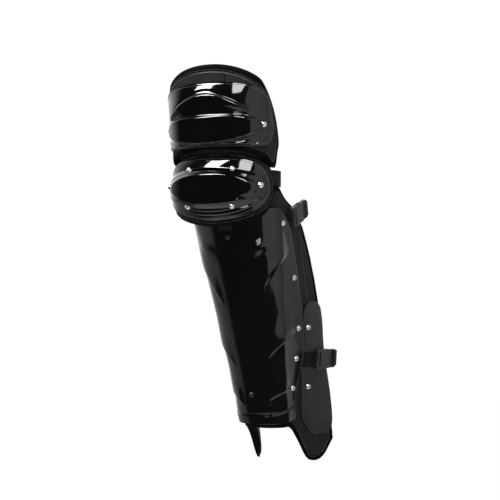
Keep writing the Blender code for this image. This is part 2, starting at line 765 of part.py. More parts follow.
def build_knee_strap(group):
    inset = PLATE_WALL + PAD_GAP + KNEE_EDGE_FOAM + SEAT_GAP * 2 + STRAP_WALL / 2
    spread = knee_spread() + KNEE_SIDE_MARGIN
    z = KNEE_STRAP_HEIGHT
    near = [knee_point(spread - run, z, inset) for run in (0.018, 0.012, 0.006)]
    end = knee_point(spread, z, inset)
    points = near
    steps = 20
    for step in range(steps + 1):
        angle = math.pi * step / steps
        across = math.copysign(abs(math.cos(angle)) ** 0.75, math.cos(angle))
        points.append(Vector((end.x * across, end.y + KNEE_STRAP_BOW * math.sin(angle) ** 0.75, z)))
    points += [Vector((-place.x, place.y, place.z)) for place in reversed(near[:3])]
    band("knee_strap", points, [(0, 0, 1)] * len(points), STRAP_WALL, "webbing", group)


def build_all(group):
    build_thigh(group)
    build_knee(group)
    build_shin(group)
    build_ankle_plates(group)
    build_links(group)
    build_knee_strap(group)
    liner_face = PLATE_WALL + SHIN_PAD_GAP
    side_plate_face = liner_face - ANKLE_PLATE_SEAT - ANKLE_PLATE_WALL
    build_closure("calf", CALF_STRAP_HEIGHT, CALF_STRAP_FAR_HEIGHT, CALF_STRAP_RISE, CALF_TAB_LENGTH,
                  liner_face, CALF_BOW, group)
    build_closure("ankle", ANKLE_STRAP_HEIGHT, ANKLE_STRAP_HEIGHT, ANKLE_STRAP_RISE, ANKLE_TAB_LENGTH,
                  side_plate_face, ANKLE_BOW, group)


if __name__ == "__main__":
    clear_scene()
    build_all(make_collection("umpire_leg_guard"))
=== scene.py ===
import math

import bpy
import numpy as np
from mathutils import Matrix, Vector


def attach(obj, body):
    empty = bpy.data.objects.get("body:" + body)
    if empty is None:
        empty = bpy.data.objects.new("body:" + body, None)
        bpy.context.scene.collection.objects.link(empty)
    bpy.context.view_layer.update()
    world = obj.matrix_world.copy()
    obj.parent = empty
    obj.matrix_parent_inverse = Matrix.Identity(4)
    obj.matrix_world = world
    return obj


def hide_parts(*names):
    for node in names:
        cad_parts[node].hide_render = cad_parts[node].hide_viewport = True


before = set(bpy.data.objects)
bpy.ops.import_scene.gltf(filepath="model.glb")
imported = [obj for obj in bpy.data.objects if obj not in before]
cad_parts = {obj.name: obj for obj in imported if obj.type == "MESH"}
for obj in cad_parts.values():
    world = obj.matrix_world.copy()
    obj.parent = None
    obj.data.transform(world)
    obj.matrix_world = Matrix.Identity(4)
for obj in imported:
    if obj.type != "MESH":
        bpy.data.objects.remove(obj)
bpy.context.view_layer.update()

print("frame loaded")

# The forms of the three sections, in metres, as the solids have them
shin = {
    "bottom": -0.163, "height": 0.348, "lean": 0.3016, "topHalf": 0.0826, "ankleHalf": 0.0425,
    "topNose": 0.041, "ankleNose": 0.034, "reach": 0.091, "front": 0.018, "rearLift": 0.008,
    "edge": ((0.00, 0.51), (0.05, 0.53), (0.10, 0.555), (0.15, 0.60), (0.20, 0.69), (0.26, 0.785),
             (0.35, 0.91), (0.46, 0.985), (0.56, 0.97), (0.68, 0.935), (0.78, 0.87), (0.92, 0.72),
             (1.00, 0.60)),
    "chevrons": ((0.807, 0.46), (0.438, 0.305), (0.162, 0.13)), "step": 0.0022,
}
wing = {
    "top": 0.216, "drop": 0.062, "reach": 0.147, "splay": 0.42, "farSplay": 0.55, "splayTop": 0.120,
    "ease": 0.030, "belowPlate": 0.008, "farHem": 0.72, "crestFall": 0.062, "gap": 0.0015,
    "foam": 0.0135, "thinFoam": 0.006,
    "edge": ((0.00, 0.80), (0.05, 0.86), (0.10, 0.89), (0.17, 0.893), (0.36, 0.89), (0.44, 0.91),
             (0.53, 0.975), (0.60, 1.00), (0.68, 1.00), (0.76, 0.95), (0.82, 0.87), (0.88, 0.78),
             (1.00, 0.70)),
    "hem": ((0.00, 0.00), (0.46, 0.00), (0.52, 0.35), (0.58, 0.72), (0.65, 0.93), (0.72, 1.00),
            (0.80, 1.00), (0.88, 0.92), (0.94, 0.74), (1.00, 0.34)),
    "crest": ((0.00, 0.55), (0.44, 0.55), (0.50, 0.06), (0.57, -0.09), (0.63, -0.06), (0.68, 0.12),
              (0.74, 0.27), (0.81, 0.37), (0.90, 0.50), (0.96, 0.72), (1.00, 1.00)),
}
knee = {
    "middle": 0.2150, "height": 0.099, "half": 0.0865, "nose": 0.038, "reach": 0.0385, "front": -0.118,
    "bowl": 0.011, "margin": 0.0095, "sideMargin": 0.018, "foam": 0.016, "edgeFoam": 0.008,
    "powers": (2.0, 2.5), "padPowers": (1.9, 2.2),      # of the ovals below and above their middle
}
thigh = {
    "gap": 0.003, "height": 0.098, "half": 0.0895, "nose": 0.038, "reach": 0.051, "front": -0.120,
    "lean": 0.060, "topMargin": 0.029, "sideMargin": 0.018, "bottomMargin": 0.0025,
    "roll": math.radians(1.2), "foam": 0.014, "tabHalf": 0.033, "tabHeight": 0.013, "tabWall": 0.0012,
    "crestFall": 0.68, "crestPower": 3, "footRise": 0.28, "footBow": 0.06, "archPower": 2.2,
    "hemRear": (0.246, 0.280), "hemTurn": 0.87, "hemGap": 0.0016,
}
walls = {"plate": 0.003, "padGap": 0.0007, "seat": 0.0003, "webbing": 0.0015, "strap": 0.0020}
arcAngles = np.linspace(0.0, math.pi / 2, 49)
arcSin = np.sin(arcAngles)
arcRise = 1 - np.cos(arcAngles)


def mix(low, high, share):
    return low + (high - low) * share


def clamp(value, low=0.0, high=1.0):
    return max(low, min(high, value))


def smooth(share):
    share = clamp(share)
    return share * share * (3 - 2 * share)


def fromTable(rows, share):
    return float(np.interp(share, [row[0] for row in rows], [row[1] for row in rows]))


def spaced(low, high, steps):
    return [low + (high - low) * step / steps for step in range(steps + 1)]


def softTable(rows, share, ease=0.02):
    # The table with its corners rounded off
    return sum(fromTable(rows, share + ease * step / 2) for step in (-2, -1, 0, 1, 2)) / 5


def softLeast(values, ease):
    # The least of some distances, rounded where two of them meet
    least = min(values)
    return least - ease * math.log(sum(math.exp(-(value - least) / ease) for value in values))


def noseLengths(half, nose):
    steps = np.hypot(np.diff(half * arcSin), np.diff(nose * arcRise))
    return np.concatenate(([0.0], np.cumsum(steps)))


def halfLength(half, nose, reach):
    return float(noseLengths(half, nose)[-1]) + reach - nose


def sectionPoint(half, nose, along):
    lengths = noseLengths(half, nose)
    run = abs(along)
    if run < lengths[-1]:
        angle = float(np.interp(run, lengths, arcAngles))
        return math.copysign(half * math.sin(angle), along), nose * (1 - math.cos(angle))
    return math.copysign(half, along), nose + run - float(lengths[-1])


def shinRise(z):
    return (z - shin["bottom"]) / shin["height"]


def shinFront(z):
    return -shin["front"] - shin["lean"] * z


def shinHalf(z):
    return mix(shin["ankleHalf"], shin["topHalf"], clamp(shinRise(z), 0.0, 1.1))


def shinNose(z):
    return mix(shin["ankleNose"], shin["topNose"], clamp(shinRise(z), 0.0, 1.1))


def shinReach(z):
    return shin["reach"] * softTable(shin["edge"], shinRise(z))


linerBottom = shin["bottom"] - wing["belowPlate"]
wingBottom = linerBottom - wing["drop"]


def wingReach(z):
    return wing["reach"] * softTable(wing["edge"], (z - wingBottom) / (wing["top"] - wingBottom))


def shinPoint(along, z, inset):
    across, depth = sectionPoint(shinHalf(z) - inset, shinNose(z) - inset, along)
    flare = wing["splay"] if along > 0 else wing["farSplay"]
    flare *= smooth((wing["splayTop"] - z) / (wing["splayTop"] - shin["bottom"]))
    behind = max(0.0, depth + inset - shinNose(z))
    across += math.copysign(flare * behind * behind / (behind + wing["ease"]), along)
    return Vector((across, shinFront(z) + inset + depth, z))


def shinAlong(reach, z, inset):
    return halfLength(shinHalf(z) - inset, shinNose(z) - inset, reach - inset)


kneeSpread = halfLength(knee["half"], knee["nose"], knee["reach"])
thighSpread = halfLength(thigh["half"], thigh["nose"], thigh["reach"])
kneeTop = knee["middle"] + knee["height"] / 2 + knee["margin"]
thighBottom = kneeTop + thigh["gap"] + thigh["bottomMargin"]


def kneeOval(share, margin, power):
    return (knee["height"] / 2 + margin) * max(0.0, 1 - share ** power) ** (1 / power)


def kneePoint(along, z, inset):
    across, depth = sectionPoint(knee["half"] - inset, knee["nose"] - inset, along)
    bowl = knee["bowl"] * abs((z - knee["middle"]) / (knee["height"] / 2)) ** 3
    return Vector((across, knee["front"] + inset + depth + bowl, z))


def thighPoint(along, z, inset):
    across, depth = sectionPoint(thigh["half"] - inset, thigh["nose"] - inset, along)
    front = thigh["front"] - thigh["lean"] * (z - thighBottom)
    pivot = Vector((0.0, 0.0, thighBottom))
    return Matrix.Rotation(-thigh["roll"], 3, "Y") @ (Vector((across, front + inset + depth, z)) - pivot) + pivot


def thighCrest(share):
    power = thigh["crestPower"]
    return thighBottom + thigh["height"] * (1 - thigh["crestFall"] * (1 - (1 - share ** power) ** (1 / power)))


def thighFoot(share):
    return thighBottom + thigh["height"] * (thigh["footRise"] * share ** 10 - thigh["footBow"] * share ** 2)


def kneeTopAt(along):
    share = min(abs(along) / (kneeSpread + knee["sideMargin"]), 1.0)
    return knee["middle"] + kneeOval(share, knee["margin"], knee["padPowers"][1])


def thighHem(share):
    # The lower edge of the thigh liner lies close over the knee liner
    along = share * (thighSpread + thigh["sideMargin"])
    rear = mix(*thigh["hemRear"], smooth((share - thigh["hemTurn"]) / (1 - thigh["hemTurn"])))
    return max(rear, kneeTopAt(along) + thigh["hemGap"])


def thighArch(share):
    arch = thigh["height"] + thigh["topMargin"]
    return thighBottom + arch * (1 - share ** thigh["archPower"]) ** (1 / thigh["archPower"])


def outwardAt(place, along, z):
    # The outward normal of a form at a length along from its middle and a height
    step = 0.0008
    side = place(along + step, z) - place(along - step, z)
    up = place(along, z + step) - place(along, z - step)
    return side.cross(up).normalized()


def raised(place, along, z, lift):
    return place(along, z) + outwardAt(place, along, z) * lift


def sineShare(across, end):
    # Closer together towards the ends of a section, and just short of them
    return end * math.sin(math.pi / 2 * across)


# Shared finishes

def setInputs(tree, node, values):
    # Each input, by its label or number, takes a value or a link
    for name, value in values.items():
        if isinstance(value, bpy.types.NodeSocket):
            tree.links.new(value, node.inputs[name])
        else:
            node.inputs[name].default_value = value


def addNode(tree, kind, inputs=None, **settings):
    node = tree.nodes.new("ShaderNode" + kind)
    for name, value in settings.items():
        setattr(node, name, value)
    setInputs(tree, node, inputs or {})
    return node


def mathNode(tree, operation, *values):
    return addNode(tree, "Math", dict(enumerate(values)), operation=operation).outputs[0]


def ramp(tree, value, low, high, start=0.0, end=1.0):
    # From the start at or below the low value to the end at or above the high one
    inputs = {"Value": value, "From Min": low, "From Max": high, "To Min": start, "To Max": end}
    return addNode(tree, "MapRange", inputs, interpolation_type="SMOOTHSTEP").outputs["Result"]


def blend(tree, share, first, second, kind="RGBA", mode="MIX"):
    # Between two colours, or two numbers
    slot, result = (6, 2) if kind == "RGBA" else (2, 0)
    inputs = {"Factor": share, slot: first, slot + 1: second}
    return addNode(tree, "Mix", inputs, data_type=kind, blend_type=mode).outputs[result]


def newGroup(name, inputs, outputs):
    group = bpy.data.node_groups.new(name, "ShaderNodeTree")
    for way, sockets in (("INPUT", inputs), ("OUTPUT", outputs)):
        for label, kind in sockets.items():
            group.interface.new_socket(name=label, in_out=way, socket_type="NodeSocket" + kind)
    return group, group.nodes.new("NodeGroupInput").outputs, group.nodes.new("NodeGroupOutput")


def makeHandledFinish():
    # Soft blotches of colour and gloss from handling, and a fine grain
    group, given, out = newGroup(
        "handledFinish", {"Vector": "Vector", "Dark": "Color", "Light": "Color", "Blotch": "Float", "Grain": "Float",
                          "Smooth": "Float", "Rough": "Float"},
        {"Color": "Color", "Roughness": "Float", "Height": "Float"})
    blotch, grain = [
        addNode(group, "TexNoise", {"Vector": given["Vector"], "Scale": given[scale], "Detail": detail}).outputs["Fac"]
        for scale, detail in (("Blotch", 5), ("Grain", 3))]
    both = mathNode(group, "ADD", mathNode(group, "MULTIPLY", blotch, 0.7), mathNode(group, "MULTIPLY", grain, 0.3))
    share = ramp(group, both, 0.36, 0.64)
    setInputs(group, out, {"Color": blend(group, share, given["Dark"], given["Light"]),
                           "Roughness": blend(group, share, given["Smooth"], given["Rough"], "FLOAT"),
                           "Height": grain})
    return group


def makeWeave():
    # Over and under threads, with a slant that turns a plain weave to a twill
    group, given, out = newGroup("threadWeave", {"Vector": "Vector", "Pitch": "Float", "Slant": "Float"},
                                 {"Height": "Float"})
    parts = addNode(group, "SeparateXYZ", {0: given["Vector"]}).outputs
    turn = mathNode(group, "DIVIDE", 2 * math.pi, given["Pitch"])
    slanted = mathNode(group, "ADD", parts["X"], mathNode(group, "MULTIPLY", parts["Y"], given["Slant"]))
    warp, weft = [mathNode(group, "SINE", mathNode(group, "MULTIPLY", run, turn)) for run in (slanted, parts["Y"])]
    wave = mathNode(group, "MULTIPLY", mathNode(group, "MULTIPLY", warp, weft), 0.5)
    setInputs(group, out, {"Height": mathNode(group, "ADD", wave, 0.5)})
    return group


def makeRimHighlightMask():
    # One at a piece's rim, falling to nothing a width in from it. It places a painted highlight along the rim
    group, given, out = newGroup("rimHighlightMask", {"Vector": "Vector", "Width": "Float"}, {"Mask": "Float"})
    parts = addNode(group, "SeparateXYZ", {0: given["Vector"]}).outputs
    share = mathNode(group, "DIVIDE", parts["X"], given["Width"])
    setInputs(group, out, {"Mask": ramp(group, share, 0.0, 1.0, 1.0, 0.0)})
    return group


handledFinish = makeHandledFinish()
threadWeave = makeWeave()
rimHighlightMask = makeRimHighlightMask()


def makeFinish(name, look):
    # One surface: handled colour and gloss, an optional weave on the UV map with painted shade in the gaps between its
    # threads, an optional painted highlight along the rim
    material = bpy.data.materials.new(name)
    material.use_nodes = True
    tree = material.node_tree
    places = addNode(tree, "TexCoord").outputs
    given = {name.capitalize(): look[name] for name in ("blotch", "grain", "smooth", "rough")}
    given.update({"Vector": places["Object"], "Dark": (*look["dark"], 1), "Light": (*look["light"], 1)})
    finish = addNode(tree, "Group", given, node_tree=handledFinish).outputs
    colour = finish["Color"]
    height = mathNode(tree, "MULTIPLY", finish["Height"], look["grainDepth"])
    if "weave" in look:
        given = {"Vector": places["UV"], "Pitch": look["weave"], "Slant": look.get("slant", 0.0)}
        threads = addNode(tree, "Group", given, node_tree=threadWeave).outputs["Height"]
        height = mathNode(tree, "ADD", height, mathNode(tree, "MULTIPLY", threads, look["weaveDepth"]))
        # The gaps between the threads are darkened: painted shade
        threadGapShade = mathNode(tree, "SUBTRACT", 1.0, threads)
        colour = blend(tree, threadGapShade, colour, (0.55, 0.55, 0.55, 1), mode="MULTIPLY")
    # A lighter colour a width in from the rim: a painted highlight on the edges
    if "paintedRimHighlight" in look:
        given = {"Vector": addNode(tree, "UVMap", uv_map="rim").outputs["UV"], "Width": look["rimWidth"]}
        mask = addNode(tree, "Group", given, node_tree=rimHighlightMask).outputs["Mask"]
        colour = blend(tree, mask, colour, (*look["paintedRimHighlight"], 1))
    bump = addNode(tree, "Bump", {"Strength": 0.5, "Distance": 1.0, "Height": height})
    setInputs(tree, tree.nodes["Principled BSDF"], {
        "Metallic": look.get("metallic", 0.0), "IOR": look.get("ior", 1.5), "Coat Weight": look.get("coat", 0.0),
        "Coat Roughness": look.get("coatRough", 0.05), "Base Color": colour, "Roughness": finish["Roughness"],
        "Normal": bump.outputs["Normal"]})
    return material


plainLooks = {    # dark and light colour, scale of blotches and of grain, least and most rough, depth of grain
    "glossShell": ((0.0035, 0.0035, 0.004), (0.0055, 0.0055, 0.006), 14, 420, 0.045, 0.085, 0.000006),
    "linerCloth": ((0.014, 0.0145, 0.015), (0.021, 0.0215, 0.023), 22, 900, 0.62, 0.82, 0.00008),
    "bindingTape": ((0.0022, 0.0024, 0.0022), (0.005, 0.0054, 0.0046), 40, 1200, 0.7, 0.9, 0.00008),
    "innerCloth": ((0.022, 0.0225, 0.0225), (0.038, 0.0385, 0.0385), 30, 800, 0.8, 0.95, 0.00012),
    "webbing": ((0.004, 0.0046, 0.0036), (0.009, 0.01, 0.0076), 60, 1500, 0.6, 0.85, 0.00008),
    "elastic": ((0.005, 0.005, 0.005), (0.01, 0.01, 0.01), 50, 1300, 0.65, 0.88, 0.00008),
    "sidePlate": ((0.017, 0.018, 0.02), (0.026, 0.027, 0.03), 18, 1400, 0.36, 0.5, 0.00006),
    "buckleGrey": ((0.03, 0.032, 0.034), (0.045, 0.047, 0.05), 50, 1500, 0.32, 0.46, 0.00005),
    "buckleBlack": ((0.005, 0.005, 0.0055), (0.01, 0.01, 0.011), 50, 1500, 0.28, 0.42, 0.00005),
    "nickel": ((0.78, 0.75, 0.71), (0.92, 0.9, 0.87), 160, 900, 0.1, 0.2, 0.00001),
    "blackRivet": ((0.006, 0.006, 0.006), (0.014, 0.014, 0.014), 160, 900, 0.18, 0.32, 0.00002),
    # The thread itself is dark. This lighter colour stands in for its sheen: a painted highlight
    "thread": ((0.1, 0.1, 0.104), (0.22, 0.22, 0.23), 200, 2500, 0.55, 0.8, 0.00005),
    "piping": ((0.05, 0.053, 0.056), (0.09, 0.094, 0.1), 60, 1500, 0.3, 0.48, 0.00005),
}
extraLooks = {    # coats, painted rim highlights and weaves, where a finish has them
    "glossShell": {"coat": 0.35, "coatRough": 0.03, "paintedRimHighlight": (0.012, 0.012, 0.013), "rimWidth": 0.0025},
    "linerCloth": {"weave": 0.0011, "weaveDepth": 0.0001, "ior": 1.3},
    "bindingTape": {"weave": 0.0014, "weaveDepth": 0.00018, "slant": 1.0, "ior": 1.15},
    "innerCloth": {"weave": 0.0018, "weaveDepth": 0.00022, "ior": 1.3},
    "webbing": {"weave": 0.0021, "weaveDepth": 0.0003, "slant": 0.5, "ior": 1.3},
    "elastic": {"weave": 0.0016, "weaveDepth": 0.00026, "ior": 1.3},
    "sidePlate": {"paintedRimHighlight": (0.045, 0.046, 0.05), "rimWidth": 0.0012},
    "nickel": {"metallic": 1.0},
}
lookNames = ("dark", "light", "blotch", "grain", "smooth", "rough", "grainDepth")
finishes = {name: makeFinish(name, {**dict(zip(lookNames, row)), **extraLooks.get(name, {})})
            for name, row in plainLooks.items()}
print("finishes made")


# Making of pieces

def handOver(piece, nodes=()):
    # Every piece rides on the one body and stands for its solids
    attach(piece, "root")
    if nodes:
        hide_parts(*nodes)
    return piece


def choose(*pieces):
    # Only these are selected, with the first as the active one
    bpy.ops.object.select_all(action="DESELECT")
    for piece in pieces:
        piece.select_set(True)
    if pieces:
        bpy.context.view_layer.objects.active = pieces[0]


def addShape(name, kind, **settings):
    choose()
    getattr(bpy.ops.mesh, "primitive_" + kind + "_add")(**settings)
    piece = bpy.context.object
    piece.name = name
    piece.data.name = name
    return piece


def addObject(name, data):
    thing = bpy.data.objects.new(name, data)
    bpy.context.scene.collection.objects.link(thing)
    return thing


def applyAll(piece):
    choose(piece)
    for modifier in list(piece.modifiers):
        bpy.ops.object.modifier_apply(modifier=modifier.name)


def soften(piece, width, segments, angle=None):
    # Rounds every edge, or only those that turn more than the angle
    bevel = piece.modifiers.new("rim", "BEVEL")
    bevel.width = width
    bevel.segments = segments
    bevel.limit_method = "ANGLE" if angle else "NONE"
    if angle:
        bevel.angle_limit = math.radians(angle)
    applyAll(piece)


def bentSheet(name, columns, rows, place, wall, finishNames, rim=0.0009, offset=-1.0, inner=None, bandWidth=0.0):
    # A grid bent to its form and given its wall and a rounded rim. place gives the point, the UV and the rim
    # distance. inner gives the point behind it, and the grid's faces near the rim then take the binding
    piece = addShape(name, "grid", x_subdivisions=columns, y_subdivisions=rows, size=2, calc_uvs=True)
    mesh = piece.data
    rimMap = mesh.uv_layers.new(name="rim")
    mainMap = mesh.uv_layers[0]
    made = [place(round(v.co.x, 6), round((v.co.y + 1) / 2, 6)) for v in mesh.vertices]
    for loop in mesh.loops:
        _, u, v, distance = made[loop.vertex_index]
        mainMap.data[loop.index].uv = (u, v)
        rimMap.data[loop.index].uv = (distance, 0.0)
    for vertex, entry in zip(mesh.vertices, made):
        vertex.co = entry[0]
    for finishName in finishNames:
        mesh.materials.append(finishes[finishName])
    if inner:
        for face in mesh.polygons:
            if sum(made[index][3] for index in face.vertices) < bandWidth * len(face.vertices):
                face.material_index = 1
    solid = piece.modifiers.new("wall", "SOLIDIFY")
    solid.thickness = wall
    solid.offset = offset
    solid.use_even_offset = not inner
    solid.material_offset = 2 if inner else 0
    applyAll(piece)
    if inner:
        for vertex, entry in zip(list(piece.data.vertices)[len(made):], made):
            vertex.co = inner(entry)
    if rim:
        soften(piece, rim, 3, 50)
    piece.data.shade_smooth()
    return piece


linerFinishes = ("linerCloth", "bindingTape", "innerCloth", "bindingTape")


def denseEnds(share, pull=0.55):
    # Shares closer together towards both ends
    return share - pull * math.sin(2 * math.pi * share) / (2 * math.pi)


def ribbon(name, middles, widths, wall, finishName, width=0.025, across=10, crown=0.0):
    # A flat strap along a line of points, smooth between them
    count = (len(middles) - 1) * 4
    points = throughPoints(middles, count)
    sides = throughPoints(widths, count)
    lengths = [0.0]
    for index in range(count):
        lengths.append(lengths[-1] + (points[index + 1] - points[index]).length)

    def place(side, up):
        index = round(up * count)
        direction = sides[index].normalized()
        edge = (1 - abs(side)) * width / 2
        point = points[index] + direction * side * width / 2
        return point, side * width / 2, lengths[index], min(edge, lengths[index], lengths[-1] - lengths[index])

    return bentSheet(name, across, count, place, wall, (finishName,), rim=wall * 0.32, offset=0.0)


def throughPoints(points, count):
    # A smooth curve through some points, sampled evenly by their number
    points = [Vector(point) for point in points]
    spans = len(points) - 1
    out = []
    for step in range(count + 1):
        place = step * spans / count
        index = min(int(place), spans - 1)
        share = place - index
        before, start, end, after = [points[min(max(index + shift, 0), spans)] for shift in (-1, 0, 1, 2)]
        out.append(0.5 * ((2 * start) + (end - before) * share
                          + (2 * before - 5 * start + 4 * end - after) * share ** 2
                          + (3 * start - before - 3 * end + after) * share ** 3))
    return out


def outline(low, high, spread, steps=160):
    # The closed outline of a section, as lengths along and heights, from its lower and upper edges
    shares = [sineShare(share, 0.985) for share in spaced(-1, 1, steps)]
    upper = [Vector((share * spread, high(abs(share)))) for share in shares]
    lower = [Vector((share * spread, low(abs(share)))) for share in reversed(shares)]
    return upper + lower[1:-1]


def offsetIn(points, distance):
    # The outline moved in by a distance, clockwise points assumed
    count = len(points)
    out = []
    for index, point in enumerate(points):
        run = points[(index + 1) % count] - points[index - 1]
        if run.length < 1e-9:
            continue
        inward = Vector((run.y, -run.x)).normalized()
        moved = point + inward * distance
        if min((moved - other).length for other in points) > distance * 0.97:
            out.append(moved)
    return out


def resample(points, step, closed=True):
    # Even steps along an outline
    line = points + [points[0]] if closed else points
    lengths = [0.0]
    for first, second in zip(line, line[1:]):
        lengths.append(lengths[-1] + (second - first).length)
    count = max(3, round(lengths[-1] / step))
    xs = np.interp(np.linspace(0, lengths[-1], count + 1), lengths, [point[0] for point in line])
    ys = np.interp(np.linspace(0, lengths[-1], count + 1), lengths, [point[1] for point in line])
    made = [Vector((float(x), float(y))) for x, y in zip(xs, ys)]
    return made[:-1] if closed else made


stitches = {"length": 0.0028, "radius": 0.00050, "pitch": 0.0039}


def stitchLine(edge, distance):
    return resample(offsetIn(edge, distance), stitches["pitch"])


def stitchRow(name, line, surface, lift):
    # A row of thread stitches along a line of lengths along and heights
    seed = addShape("stitch", "uv_sphere", segments=6, ring_count=4, radius=1.0)
    shape = [vertex.co.copy() for vertex in seed.data.vertices]
    faces = [tuple(face.vertices) for face in seed.data.polygons]
    bpy.data.objects.remove(seed, do_unlink=True)
    points = []
    polygons = []
    for spot, nextSpot in zip(line, line[1:]):
        here = surface(*spot)
        ahead = surface(*nextSpot)
        normal = outwardAt(surface, *spot)
        run = (ahead - here).normalized()
        side = normal.cross(run).normalized()
        middle = (here + ahead) / 2 + normal * lift
        first = len(points)
        for corner in shape:
            points.append(middle + run * corner.x * stitches["length"] / 2 + side * corner.y * stitches["radius"]
                          + normal * corner.z * stitches["radius"])
        polygons += [tuple(first + number for number in face) for face in faces]
    mesh = bpy.data.meshes.new(name)
    mesh.from_pydata(points, [], polygons)
    mesh.shade_smooth()
    mesh.materials.append(finishes["thread"])
    return handOver(addObject(name, mesh))


def cordLine(name, line, surface, radius):
    # A round piping that follows a line on a surface
    curve = bpy.data.curves.new(name, "CURVE")
    curve.dimensions = "3D"
    curve.bevel_depth = radius
    curve.bevel_resolution = 3
    curve.use_fill_caps = True
    spline = curve.splines.new("POLY")
    spline.points.add(len(line) - 1)
    for point, spot in zip(spline.points, line):
        point.co = (*surface(*spot), 1.0)
    choose(addObject(name, curve))
    bpy.ops.object.convert(target="MESH")
    piece = bpy.context.object
    piece.data.materials.clear()
    piece.data.materials.append(finishes["piping"])
    piece.data.shade_smooth()
    return handOver(piece)


# Thigh section
thighLooks = {
    "columns": 220, "rows": 170, "swell": 0.0056, "swellWidth": 0.032, "groove": 0.0006, "ease": 0.004,
    "domeRise": 0.0032, "domeLift": (0.0004, 0.0034), "domeMiddle": 0.262, "domeHeight": 0.225, "domeHalf": 0.77,
    "domeAbove": 3.2, "domeBelow": 1.9, "domeFoot": 1.03, "domeStart": 0.34,
    "ribRise": 0.0036, "ribMiddle": 0.755, "ribFall": 0.67, "ribHalf": (0.088, 0.045), "ribEnd": 0.68,
    "pleatDepth": 0.0016, "pleatHalf": 0.0022,
    "pleats": (((0.63, 0.00), (0.79, 0.12)), ((0.71, -0.03), (0.87, 0.15)), ((0.79, -0.01), (0.94, 0.21))),
    "stitchIn": 0.0032, "binding": 0.0105, "pipingIn": 0.0130, "pipingRadius": 0.0011, "pipingClear": 0.012,
    "foamRound": 0.0042,
}


def domeOval(share, up, half, upper, lower):
    # One at the dome's edge, with flatter or rounder ends above and below its middle
    power = upper if up > 0 else lower
    return ((abs(share) / half) ** power + abs(up) ** power) ** (1 / power)


def bevelled(distance, width):
    # A slope with a tight bend at its foot and a rounder one at its top
    share = clamp(distance / width)
    return smooth(share ** 0.8)


def domeForm(look, share, oval):
    # The dome's share of its height, and its rise with the shallow groove round its foot. It stands higher
    # towards its ends, most on the side of the buckles
    inside = bevelled(look["domeFoot"] - oval, 0.17)
    lift = look["domeLift"][share > 0] * smooth((abs(share) - look["domeStart"]) / 0.38)
    groove = look["groove"] * math.exp(-((oval - 1.09) / 0.07) ** 2)
    return inside, inside * (look["domeRise"] + lift) - groove


def thighRelief(share, up, rimDistance, topDistance):
    look = thighLooks
    side = abs(share)
    front = smooth((0.80 - side) / 0.42)
    rise = look["swell"] * (1 - (1 - clamp(topDistance / look["swellWidth"])) ** 2) * front
    oval = domeOval(share, (up - look["domeMiddle"]) / look["domeHeight"], look["domeHalf"], look["domeAbove"],
                    look["domeBelow"])
    rise += domeForm(look, share, oval)[1]
    place = (up - look["ribMiddle"] + look["ribFall"] * share ** 2) / mix(*look["ribHalf"], smooth(side / 0.60))
    ends = smooth((look["ribEnd"] - side) / 0.10)
    crest = bevelled(1.0 - place, mix(0.42, 0.80, smooth(side / 0.60)))
    rise += look["ribRise"] * crest * smooth((place + 1.9) / 1.7) * ends
    rise -= look["groove"] * math.exp(-((place - 1.25) / 0.40) ** 2) * ends
    scale = Vector((thighSpread, thigh["height"]))
    for start, end in look["pleats"]:
        # A fan of short pleats beyond the dome's lower corners
        first = Vector(start) * scale
        run = Vector(end) * scale - first
        spot = Vector((side, up)) * scale - first
        along = clamp(spot.dot(run) / run.length_squared)
        off = (spot - run * along).length
        fade = smooth(along / 0.25) * smooth((1 - along) / 0.35)
        rise -= look["pleatDepth"] * fade * math.exp(-(off / look["pleatHalf"]) ** 2)
    return rise * smooth(rimDistance / look["ease"])


def thighDistance(along, z, spread, rest, power, low, high):
    # How far a spot lies inside an outline. rest is its height's share of the stretch that draws in
    share = min(abs(along) / spread, 0.999)
    width = spread * (1 - rest ** power) ** (1 / power)
    return max(0.0, softLeast((width - abs(along) + 0.0004, z - low(share), high(share) - z), 0.003))


